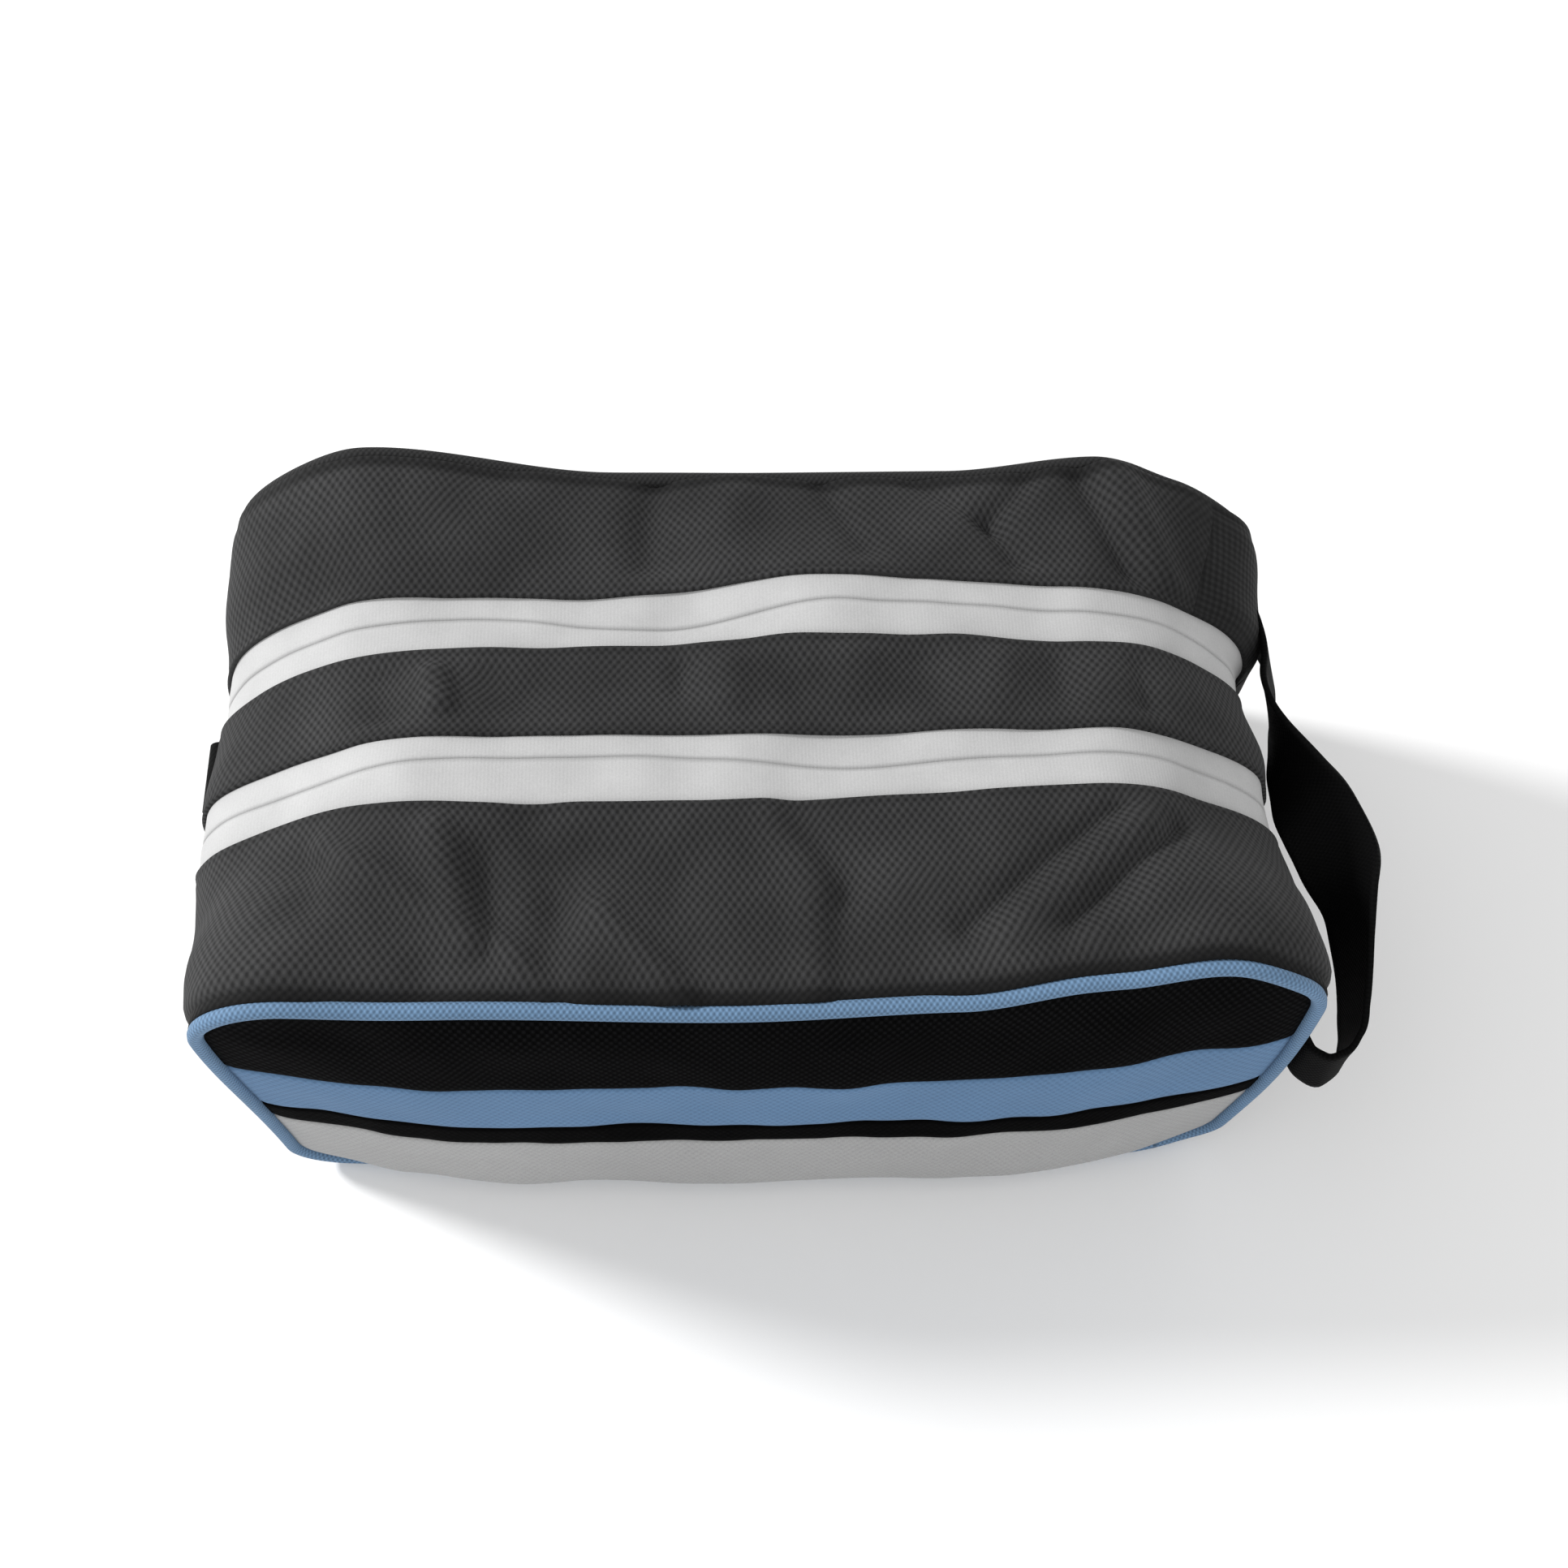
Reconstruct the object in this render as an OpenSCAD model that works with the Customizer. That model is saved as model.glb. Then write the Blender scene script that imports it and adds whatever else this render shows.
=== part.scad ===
// Two-compartment golf shoe bag.
// X runs along the bag towards the carrying handle, the striped front panel faces -Y, Z is up.
// The origin is the centre of the flat underside of the base.

/* [Bag] */
// Length of the body between its two end walls
bag_w = 350; // [340:1:360]
// Depth of the body between the front and back seams
bag_d = 196; // [190:1:202]
// Height of the body
bag_h = 165; // [160:1:172]
// Thickness of the laminated fabric walls
wall_t = 2.5; // [2:0.1:3]
// Corner radius of the arch that the zips follow
shoulder_r = 68; // [64:1:72]
// Corner radius of the front panel's top corners
front_r = 30; // [26:1:36]
// Corner radius of the back panel's top corners
back_r = 54; // [48:1:60]
// Corner radius along the base
base_r = 22; // [18:1:24]

/* [Front panel] */
// How far the front panel swells forward of its seam
front_bulge = 13; // [8:1:14]
// Height of the lower edge of the black field
blue_top = 110; // [104:1:116]
// Height of the lower edge of the blue band
blue_bottom = 72; // [68:1:78]
// Height of the upper edge of the grey band
grey_top = 57; // [52:1:62]
// Radius of the piping cord round both panels
piping_r = 2.4; // [2:0.1:2.4]

/* [Zips] */
// Exposed width of each zip, both tapes together
zip_w = 22; // [20:1:24]
// Distance of the front zip's slit from the middle of the bag, towards the front
front_zip_y = -19; // [-21:1:-18]
// Distance of the rear zip's slit from the middle of the bag, towards the back
rear_zip_y = 37; // [36:1:39]
// Half length of the part of each top strip that lifts
lip_half = 110; // [108:1:111]

/* [Handle] */
// Width of the handle webbing
strap_w = 28; // [25:1:30]
// Thickness of the handle webbing
strap_t = 2.2; // [1.6:0.1:2.6]

/* [Hidden] */
$fn = 64;

big = 600;
slice_t = 0.1;
hull_fn = 32;
row_steps = 12;
gap = 0.3;
hair = 0.05;
seam_y = bag_d / 2;
// The gusset stops just short of the piping cord, which is centred on the seam
gusset_y = seam_y - piping_r - gap;
piping_inset = piping_r + 0.2;
panel_inset = 2 * piping_r + 0.3;
panel_t = 3;
back_bulge = 6;
lining_gap = 0.2;
lining_t = 0.8;
board_t = 1.6;
divider_t = 2;
divider_y = (front_zip_y + rear_zip_y) / 2;
lining_top = 86;
floor_z = wall_t + board_t + lining_gap;

// Shoulder arc that the zips and sliders follow
arc_x = bag_w / 2 - shoulder_r;
arc_z = bag_h - shoulder_r;
tip_angle = 8;
tape_edge = zip_w / 2;
tape_recess = 0.4;
tape_t = 1.2;
slit_half = 0.8;
coil_r = 1.2;
tape_out_r = shoulder_r - tape_recess;
coil_mid_r = tape_out_r - tape_t - coil_r;
notch_z = arc_z - shoulder_r * sin(tip_angle) - 0.4;

// Slider, sized as a number five coil slider
slider_len = 12;
slider_w = 8;
slider_plate_t = 1.6;
slider_neck = 0.8;
slider_base_t = 1;
bar_r = 0.8;
bar_lift = 4.2;
cheek_t = 1;
cheek_in = 2.5;
eye_r = 2;
eye_bore = 1.15;
pull_len = 11;
pull_w = 4.4;
pull_t = 1.2;

// Handle route, rear to front: [x, y, z, heading, tilt of the webbing off the vertical]
rear_end_route = [
    [176.6, 72, 106, 30, 0], [185, 60, 105, 32, 0], [192, 52.5, 104, 30, 4]
];
grip_route = [
    [193, 50, 104, 26, 8], [198, 38, 104, 18, 8], [200, 29, 104, 11, -4],
    [201.5, 21, 104, 10, -20], [203, 13, 104, 9, -37], [204.8, 4, 104, 7, -53],
    [206.3, -8, 103.5, 4, -66], [207.5, -30, 103, 0, -62], [208, -44, 102, 0, -46],
    [208, -56, 101, -1, -32], [207.5, -68, 99, -2, -20], [207, -79, 96, -2, -12],
    [207, -87, 93, -3, -6]
];
front_end_route = [
    [207, -89.5, 92, -6, -4], [205.5, -97, 90, -35, -2], [200, -102.5, 89, -65, 0],
    [190, -104.5, 88, -92, 0], [177.5, -100.5, 88, -110, 0]
];

module arch2d(top_r, inset = 0) {
    half = bag_w / 2 - inset;
    low = inset;
    high = bag_h - inset;
    tr = top_r - inset;
    br = base_r - inset;
    translate([-half, low + br]) square([2 * half, high - low - br - tr]);
    translate([-half + br, low]) square([2 * (half - br), high - low - tr]);
    translate([-half + tr, low + br]) square([2 * (half - tr), high - low - br]);
    for (side = [-1, 1]) {
        translate([side * (half - tr), high - tr]) circle(tr);
        translate([side * (half - br), low + br]) circle(br);
    }
}

// Stands a profile drawn in X and Z up and runs it from y0 to y1
module along_y(y0, y1) {
    translate([0, y1, 0]) rotate([90, 0, 0]) linear_extrude(y1 - y0) children();
}

module box(x0, x1, y0, y1, z0, z1) {
    translate([x0, y0, z0]) cube([x1 - x0, y1 - y0, z1 - z0]);
}

// Outer or inner corner of a top strip at the seam: up the end wall, round the corner, along the top
function seam_row(seam_r, y, inset) = [
    for (k = [0:row_steps])
        let (a = 90 * (k - 1) / (row_steps - 2))
        k == 0 ? [bag_w / 2 - inset, y, arc_z]
        : k == row_steps ? [lip_half + gap / 2, y, bag_h - inset]
        : [bag_w / 2 - seam_r + (seam_r - inset) * cos(a), y, bag_h - seam_r + (seam_r - inset) * sin(a)]
];

// The same number of points along the shoulder arc at the zip
function zip_row(y, inset) = [
    for (k = [0:row_steps])
        let (r = shoulder_r - inset, a = arc_angle_at(lip_half + gap / 2, r) * k / row_steps)
        [arc_x + r * cos(a), y, arc_z + r * sin(a)]
];

// Right-hand shoulder piece of a top strip, lofted between its seam and its zip
module shoulder_shell(y_seam, seam_r, y_zip) {
    n = row_steps + 1;
    rows = concat(
        seam_row(seam_r, y_seam, 0), zip_row(y_zip, 0),
        zip_row(y_zip, wall_t), seam_row(seam_r, y_seam, wall_t)
    );
    sides = [
        for (row = [0:3], k = [0:row_steps - 1])
            let (a = row * n + k, b = (row + 1) % 4 * n + k)
            each [[a, a + 1, b + 1], [a, b + 1, b]]
    ];
    start_cap = [0, n, 2 * n, 3 * n];
    end_cap = [for (row = [3:-1:0]) row * n + row_steps];
    polyhedron(rows, concat(sides, [start_cap, end_cap]), convexity = 4);
}

module front_shoulder() {
    shoulder_shell(-gusset_y, front_r, front_zip_y - tape_edge);
}

// Drawn towards the front and mirrored, so that its faces keep pointing outwards
module rear_shoulder() {
    mirror([0, 1, 0]) shoulder_shell(-gusset_y, back_r, -rear_zip_y - tape_edge);
}

module lip_plate(y0, y1) {
    box(-lip_half + gap / 2, lip_half - gap / 2, y0, y1, bag_h - wall_t, bag_h);
}

module front_gusset_left() {
    color("#3c3c3e") mirror([1, 0, 0]) front_shoulder();
}

module front_gusset_right() {
    color("#3c3c3e") front_shoulder();
}

module front_lip() {
    color("#404042") lip_plate(-gusset_y, front_zip_y - tape_edge);
}

module rear_gusset_left() {
    color("#3c3c3e") mirror([1, 0, 0]) rear_shoulder();
}

module rear_gusset_right() {
    color("#3c3c3e") rear_shoulder();
}

module rear_lip() {
    color("#404042") lip_plate(rear_zip_y + tape_edge, gusset_y);
}

module centre_band() {
    color("#404042") intersection() {
        along_y(front_zip_y + tape_edge, rear_zip_y - tape_edge) difference() {
            arch2d(shoulder_r);
            arch2d(shoulder_r, wall_t);
        }
        box(-big, big, -big, big, arc_z, big);
    }
}

module base_panel() {
    color("#38383a") intersection() {
        along_y(-gusset_y, gusset_y) difference() {
            arch2d(shoulder_r);
            arch2d(shoulder_r, wall_t);
        }
        box(-big, big, -big, big, -1, base_r);
    }
}

module base_board() {
    half = bag_w / 2 - base_r;
    color("#202022") box(-half, half, -gusset_y + 2, gusset_y - 2, wall_t, wall_t + board_t);
}

module end_panel(side) {
    x0 = side < 0 ? -bag_w / 2 : bag_w / 2 - wall_t;
    difference() {
        box(x0, x0 + wall_t, -gusset_y, gusset_y, base_r, arc_z);
        for (zip_y = [front_zip_y, rear_zip_y])
            box(x0 - 1, x0 + wall_t + 1, zip_y - tape_edge, zip_y + tape_edge, notch_z, big);
    }
}

module left_end_panel() {
    color("#3a3a3c") end_panel(-1);
}

module right_end_panel() {
    color("#3a3a3c") end_panel(1);
}

module divider() {
    color("#2b2b2d") intersection() {
        along_y(divider_y - divider_t / 2, divider_y + divider_t / 2)
            arch2d(shoulder_r, wall_t + lining_gap);
        box(-big, big, -big, big, floor_z, big);
    }
}

// Swollen panel solid inside the piping: a flat seam outline blended to a lower, smaller crown
module dome(dir, seam_r, bulge, inset, extra) {
    shrink = inset - panel_inset;
    crown_half = bag_w / 2 - 55 - shrink;
    hull() {
        along_y(min(dir * (seam_y - 2 - extra), dir * seam_y),
                max(dir * (seam_y - 2 - extra), dir * seam_y))
            arch2d(seam_r, inset, $fn = hull_fn);
        translate([0, dir * (seam_y + bulge - shrink), 0])
            rotate([90, 0, 0]) linear_extrude(slice_t, center = true)
                for (x = [-1, 1], z = [34 + shrink, 76 - shrink])
                    translate([x * (crown_half - 20), z]) circle(20, $fn = hull_fn);
    }
}

module panel_shell(dir, seam_r, bulge, inset, t) {
    difference() {
        dome(dir, seam_r, bulge, inset, 0);
        dome(dir, seam_r, bulge, inset + t, 1);
    }
}

module front_layer(z0, z1) {
    intersection() {
        panel_shell(-1, front_r, front_bulge, panel_inset, panel_t);
        box(-big, big, -big, big, z0, z1);
    }
}

module front_top_field() {
    color("#121213") front_layer(blue_top, big);
}

module front_blue_band() {
    color("#5f82a8") front_layer(blue_bottom, blue_top);
}

module front_black_band() {
    color("#121213") front_layer(grey_top, blue_bottom);
}

module front_grey_band() {
    color("#b9b9b9") front_layer(-1, grey_top);
}

module back_panel() {
    color("#3a3a3c") panel_shell(1, back_r, back_bulge, panel_inset, panel_t);
}

// Piping cord following a panel's outline, centred on the seam
module piping_ring(y, top_r) {
    half = bag_w / 2 - piping_inset;
    low = piping_inset;
    high = bag_h - piping_inset;
    tr = top_r - piping_inset;
    br = base_r - piping_inset;
    translate([0, y, 0]) {
        for (z = [low, high]) {
            r = z == low ? br : tr;
            translate([-(half - r), 0, z]) rotate([0, 90, 0]) cylinder(2 * (half - r), r = piping_r);
        }
        for (side = [-1, 1]) {
            translate([side * half, 0, low + br]) cylinder(high - low - br - tr, r = piping_r);
            piping_corner(side, half - tr, high - tr, tr, side > 0 ? 0 : 90);
            piping_corner(side, half - br, low + br, br, side > 0 ? 270 : 180);
        }
    }
}

module piping_corner(side, x, z, r, start) {
    translate([side * x, 0, z]) rotate([90, 0, 0]) rotate([0, 0, start])
        rotate_extrude(angle = 90) translate([r, 0]) circle(piping_r, $fn = hull_fn);
}

module front_piping() {
    color("#6c94c0") piping_ring(-seam_y, front_r);
}

module back_piping() {
    color("#333335") piping_ring(seam_y, back_r);
}

// Thin lining tray of one compartment, open at the top, with a skin behind its swollen panel
module lining(dir, seam_r, bulge) {
    outer = wall_t + lining_gap;
    inner_y = divider_y + dir * (divider_t / 2 + 0.1);
    outer_y = dir * gusset_y;
    y0 = min(inner_y, outer_y);
    y1 = max(inner_y, outer_y);
    difference() {
        along_y(y0, y1) intersection() {
            arch2d(shoulder_r, outer);
            translate([-big / 2, floor_z]) square([big, lining_top - floor_z]);
        }
        along_y(dir > 0 ? y0 + lining_t : y0 - 1, dir > 0 ? y1 + 1 : y1 - lining_t) intersection() {
            arch2d(shoulder_r, outer + lining_t);
            translate([-big / 2, floor_z + lining_t]) square([big, big]);
        }
    }
    intersection() {
        panel_shell(dir, seam_r, bulge, panel_inset + panel_t + lining_gap, lining_t);
        box(-big, big, dir > 0 ? outer_y : -big, dir > 0 ? big : outer_y, floor_z, lining_top);
    }
}

module front_lining() {
    color("#55555a") lining(-1, front_r, front_bulge);
}

module rear_lining() {
    color("#55555a") lining(1, back_r, back_bulge);
}

// Places a shape drawn at [radius, y] on the shoulder arc of one side, from one angle to another
module on_arc(side, from_angle, to_angle) {
    mirror([side < 0 ? 1 : 0, 0, 0]) translate([arc_x, 0, arc_z])
        rotate([90, 0, 0]) rotate([0, 0, from_angle])
            rotate_extrude(angle = to_angle - from_angle) mirror([0, 1]) children();
}

function arc_angle_at(x, r) = acos((x - arc_x) / r);

module tape_section(y0, y1) {
    translate([tape_out_r - tape_t, y0]) square([tape_t, y1 - y0]);
}

// The straight run and the two arcs are separate solids a hair apart
module centre_tape(y0, y1) {
    half = arc_x - hair;
    for (side = [-1, 1]) on_arc(side, -tip_angle, 90) tape_section(y0, y1);
    box(-half, half, y0, y1, arc_z + tape_out_r - tape_t, arc_z + tape_out_r);
}

module end_tapes(y0, y1) {
    for (side = [-1, 1])
        on_arc(side, -tip_angle, arc_angle_at(lip_half + gap / 2, tape_out_r)) tape_section(y0, y1);
}

module lip_tape(y0, y1) {
    box(-lip_half + gap / 2, lip_half - gap / 2, y0, y1,
        arc_z + tape_out_r - tape_t, arc_z + tape_out_r);
}

module coil_section(y) {
    translate([coil_mid_r, y]) circle(coil_r, $fn = hull_fn);
}

module centre_coil(y) {
    half = arc_x - hair;
    for (side = [-1, 1]) on_arc(side, -tip_angle, 90) coil_section(y);
    translate([-half, y, arc_z + coil_mid_r]) rotate([0, 90, 0])
        cylinder(2 * half, r = coil_r, $fn = hull_fn);
}

module end_coils(y) {
    for (side = [-1, 1])
        on_arc(side, -tip_angle, arc_angle_at(lip_half + gap / 2, coil_mid_r)) coil_section(y);
}

module lip_coil(y) {
    translate([-lip_half + gap / 2, y, arc_z + coil_mid_r]) rotate([0, 90, 0])
        cylinder(2 * lip_half - gap, r = coil_r, $fn = hull_fn);
}

module zip_stops(zip_y) {
    stop_t = 1.2;
    for (side = [-1, 1])
        on_arc(side, -tip_angle, -tip_angle + 1.6)
            translate([tape_out_r, zip_y - 2.5]) square([stop_t, 5]);
}

module front_zip_lip_tape() {
    color("#cfcfcf") lip_tape(front_zip_y - tape_edge, front_zip_y - slit_half);
}

module front_zip_end_tapes() {
    color("#cfcfcf") end_tapes(front_zip_y - tape_edge, front_zip_y - slit_half);
}

module front_zip_centre_tape() {
    color("#cfcfcf") centre_tape(front_zip_y + slit_half, front_zip_y + tape_edge);
}

module front_zip_lip_coil() {
    color("#bdbdbd") lip_coil(front_zip_y - slit_half - coil_r);
}

module front_zip_end_coils() {
    color("#bdbdbd") end_coils(front_zip_y - slit_half - coil_r);
}

module front_zip_centre_coil() {
    color("#bdbdbd") centre_coil(front_zip_y + slit_half + coil_r);
}

module front_zip_stops() {
    color("#bdbdbd") zip_stops(front_zip_y);
}

module rear_zip_lip_tape() {
    color("#cfcfcf") lip_tape(rear_zip_y + slit_half, rear_zip_y + tape_edge);
}

module rear_zip_end_tapes() {
    color("#cfcfcf") end_tapes(rear_zip_y + slit_half, rear_zip_y + tape_edge);
}

module rear_zip_centre_tape() {
    color("#cfcfcf") centre_tape(rear_zip_y - tape_edge, rear_zip_y - slit_half);
}

module rear_zip_lip_coil() {
    color("#bdbdbd") lip_coil(rear_zip_y + slit_half + coil_r);
}

module rear_zip_end_coils() {
    color("#bdbdbd") end_coils(rear_zip_y + slit_half + coil_r);
}

module rear_zip_centre_coil() {
    color("#bdbdbd") centre_coil(rear_zip_y - slit_half - coil_r);
}

module rear_zip_stops() {
    color("#bdbdbd") zip_stops(rear_zip_y);
}

// Slider standing on the arc at the zip's lower right tip
module slider(zip_y) {
    plate_r = tape_out_r + gap;
    top_r = plate_r + slider_plate_t;
    base_top_r = coil_mid_r - coil_r - gap;
    bar_at = plate_r + bar_lift;
    translate([arc_x, zip_y, arc_z]) {
        translate([plate_r, 0, 0]) rotate([0, 90, 0]) linear_extrude(slider_plate_t)
            polygon([
                [-slider_len / 2, -slider_w / 2 + 1], [-slider_len / 2 + 1, -slider_w / 2],
                [0, -slider_w / 2], [slider_len / 2, -slider_w / 2 + 2],
                [slider_len / 2, slider_w / 2 - 2], [0, slider_w / 2],
                [-slider_len / 2 + 1, slider_w / 2], [-slider_len / 2, slider_w / 2 - 1]
            ]);
        box(base_top_r, plate_r, -slider_neck / 2, slider_neck / 2, -2, 2);
        box(base_top_r - slider_base_t, base_top_r,
            -slider_w / 2 + 0.5, slider_w / 2 - 0.5, -slider_len / 2 + 1, slider_len / 2 - 1);
        for (side = [-1, 1])
            box(top_r, bar_at + bar_r + 0.4, side * (cheek_in + cheek_t / 2) - cheek_t / 2,
                side * (cheek_in + cheek_t / 2) + cheek_t / 2, -1.6, 1.6);
        translate([bar_at, -cheek_in, 0]) rotate([-90, 0, 0])
            cylinder(2 * cheek_in, r = bar_r);
    }
}

// Pull tab hanging from the slider's bar
module puller(zip_y) {
    bar_at = tape_out_r + gap + bar_lift;
    translate([arc_x + bar_at, zip_y - pull_w / 2, arc_z]) {
        difference() {
            union() {
                rotate([-90, 0, 0]) cylinder(pull_w, r = eye_r);
                translate([-pull_t / 2, 0, -pull_len]) cube([pull_t, pull_w, pull_len]);
            }
            translate([0, -1, 0]) rotate([-90, 0, 0]) cylinder(pull_w + 2, r = eye_bore);
            translate([-2, pull_w / 2, -pull_len + 3]) rotate([0, 90, 0]) cylinder(4, r = 1.2);
        }
    }
}

module front_slider() {
    color("#1a1a1b") slider(front_zip_y);
}

module rear_slider() {
    color("#1a1a1b") slider(rear_zip_y);
}

module front_puller() {
    color("#1a1a1b") puller(front_zip_y);
}

module rear_puller() {
    color("#1a1a1b") puller(rear_zip_y);
}

module strap_section(s) {
    translate([s[0], s[1], s[2]]) rotate([0, 0, s[3]]) rotate([0, -s[4], 0])
        cube([strap_t, 0.6, strap_w], center = true);
}

// Webbing swept through the sections of a route
module strap(route) {
    for (i = [0:len(route) - 2]) hull() {
        strap_section(route[i]);
        strap_section(route[i + 1]);
    }
}

module handle_webbing() {
    color("#161617") strap(grip_route);
}

module handle_rear_end() {
    color("#161617") strap(rear_end_route);
}

module handle_front_end() {
    color("#161617") strap(front_end_route);
}

// Folded webbing tab sewn into the left end between the zips
module left_tab() {
    tab_w = 26;
    tab_y = 9;
    tab_z = 108;
    reach = 13;
    fold_r = 3.2;
    color("#1c1c1d") translate([-bag_w / 2, tab_y - tab_w / 2, tab_z]) rotate([-90, 0, 0])
        linear_extrude(tab_w) difference() {
            union() {
                translate([-reach + fold_r, -fold_r]) square([reach - fold_r, 2 * fold_r]);
                translate([-reach + fold_r, 0]) circle(fold_r);
            }
            translate([-reach + fold_r, 0]) circle(1.4);
            translate([-reach + fold_r, -0.6]) square([reach, 1.2]);
        }
}

base_panel();
base_board();
left_end_panel();
right_end_panel();
front_gusset_left();
front_gusset_right();
front_lip();
rear_gusset_left();
rear_gusset_right();
rear_lip();
centre_band();
divider();
front_lining();
rear_lining();
front_top_field();
front_blue_band();
front_black_band();
front_grey_band();
front_piping();
back_panel();
back_piping();
front_zip_lip_tape();
front_zip_end_tapes();
front_zip_centre_tape();
front_zip_lip_coil();
front_zip_end_coils();
front_zip_centre_coil();
front_zip_stops();
front_slider();
front_puller();
rear_zip_lip_tape();
rear_zip_end_tapes();
rear_zip_centre_tape();
rear_zip_lip_coil();
rear_zip_end_coils();
rear_zip_centre_coil();
rear_zip_stops();
rear_slider();
rear_puller();
handle_webbing();
handle_rear_end();
handle_front_end();
left_tab();
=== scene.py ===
import math

import bmesh
import bpy
import numpy as np
from mathutils import Matrix, Vector, noise


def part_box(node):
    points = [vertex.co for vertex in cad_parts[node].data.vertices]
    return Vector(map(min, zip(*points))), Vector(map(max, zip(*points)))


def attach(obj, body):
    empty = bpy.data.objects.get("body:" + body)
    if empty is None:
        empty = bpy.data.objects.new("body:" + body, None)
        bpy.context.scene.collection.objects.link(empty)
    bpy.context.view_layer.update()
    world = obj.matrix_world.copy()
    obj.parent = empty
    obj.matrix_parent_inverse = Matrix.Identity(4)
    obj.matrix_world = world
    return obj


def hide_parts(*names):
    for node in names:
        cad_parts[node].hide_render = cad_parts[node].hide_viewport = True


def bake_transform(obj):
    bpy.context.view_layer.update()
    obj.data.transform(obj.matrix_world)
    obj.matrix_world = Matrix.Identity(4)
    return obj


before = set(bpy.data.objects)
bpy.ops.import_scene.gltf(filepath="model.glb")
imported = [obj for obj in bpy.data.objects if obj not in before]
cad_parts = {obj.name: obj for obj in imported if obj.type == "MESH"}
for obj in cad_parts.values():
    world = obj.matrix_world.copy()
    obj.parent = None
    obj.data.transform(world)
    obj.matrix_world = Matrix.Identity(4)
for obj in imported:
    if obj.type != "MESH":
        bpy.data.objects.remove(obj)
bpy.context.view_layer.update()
MM = 0.001

# ---------------------------------------------------------------- sizes taken from the frame
base_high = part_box("base_panel")[1]
band_low, band_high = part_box("centre_band")
HALF_W = base_high.x
GUSSET_Y = base_high.y
BASE_R = base_high.z
TOP_Z = band_high.z
ARC_Z = band_low.z
SHOULDER_R = TOP_Z - ARC_Z
piping_low, piping_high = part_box("front_piping")
PIPING_R = (piping_high.y - piping_low.y) / 2
SEAM_Y = -(piping_high.y + piping_low.y) / 2
PIPING_INSET = HALF_W - piping_high.x + PIPING_R
FRONT_R = 30 * MM
BACK_R = 41 * MM
PANEL_INSET = PIPING_INSET + PIPING_R * 0.8
BANDS = {name: (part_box(name)[0].z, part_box(name)[1].z) for name in
         ("front_grey_band", "front_black_band", "front_blue_band", "front_top_field")}
SHELL_T = 2.0 * MM
TAPE_T = 0.9 * MM
TAPE_DROP = 0.5 * MM
# Grooves beside the two long seams, and the stitched hems beside the zips; each depth also sets how dark
# the painted shade along it is, full from 1 mm
FRONT_GROOVE = 2.4 * MM
BACK_GROOVE = 0.7 * MM
GROOVE_W = 2.6 * MM
HEM = 2.4 * MM
HEM_DEPTH = 0.35 * MM
HEM_W = 0.8 * MM
ZIP_TIP_T = 0.772
END_SEAM_T = 0.745
END_CLOTH_T = 0.55


class Zip:
    """Places of one zip: its fabric edges and its slit, in the row frame."""

    def __init__(self, name):
        self.name = name
        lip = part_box(name + "_zip_lip_tape")
        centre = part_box(name + "_zip_centre_tape")
        self.front = min(lip[0].y, centre[0].y)
        self.back = max(lip[1].y, centre[1].y)
        self.slit = (self.front + self.back) / 2


front_zip = Zip("front")
rear_zip = Zip("rear")


# ---------------------------------------------------------------- the bag's soft shape
def smooth(q):
    q = np.clip(q, 0, 1)
    return q * q * (3 - 2 * q)


def through(points, x):
    """Smooth curve through a few given (x, value) points, both in millimetres."""
    xs = [p[0] * MM for p in points]
    vs = [p[1] * MM for p in points]
    x = np.asarray(x, float)
    out = np.full(x.shape, vs[0])
    for (xa, va), (xb, vb) in zip(zip(xs, vs), zip(xs[1:], vs[1:])):
        inside = x >= xa
        out = np.where(inside, va + (vb - va) * smooth((x - xa) / (xb - xa)), out)
    return out


# Lift of the top along four lines across the bag: front seam, front zip, rear zip, back seam
FRONT_LIFT = [(-165, 0), (-110, -3), (-10, -6), (60, -4), (100, 1), (138, 6), (165, 3)]
FRONT_ZIP_LIFT = [(-150, 0), (-80, 1), (0, 0), (44, -3), (83, 0), (123, 2), (160, 0)]
REAR_ZIP_LIFT = [(-150, 0), (-100, -2), (-35, -2), (24, 5), (55, 4), (104, -3), (150, 0)]
BACK_LIFT = [(-172, 5), (-138, 9), (-50, -2), (10, -3), (70, -3), (122, 2), (152, -5), (170, -9)]
# Shift of the two upper seams and of the lower front seam, towards the back where positive
FRONT_SHIFT = [(-165, 0), (-100, -1), (0, -3), (60, -2), (110, 2), (142, 4), (165, 2)]
BACK_SHIFT = [(-165, 2), (-125, 4), (-40, 0), (70, 0), (125, 2), (165, -1)]
LOW_FRONT_SHIFT = [(-165, 0), (-90, -4), (0, -7), (90, -7), (140, -4), (168, 0)]
# How far each end bulges outwards, by depth across the bag
LEFT_SWELL = [(-97, 6), (-60, 13), (-19, 18), (37, 15), (60, 15), (96, 14)]
RIGHT_SWELL = [(-97, 7), (-60, 10), (-19, 9), (0, 9), (24, 3), (40, 4), (60, 16), (96, 17)]
# Share of the right end's bulge that is left where a parked slider holds the cloth in
HELD_SWELL = 0.2
# Sideways wander of the slit between the two tapes of each zip
SLIT_WANDER = {
    "front": [(-150, 0), (-90, 3), (-40, 3), (30, -1), (80, 1), (130, 2), (165, 0)],
    "rear": [(-150, 0), (-100, 2), (-30, -3.5), (30, 3), (75, 3), (130, 2), (165, 0)],
}
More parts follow.
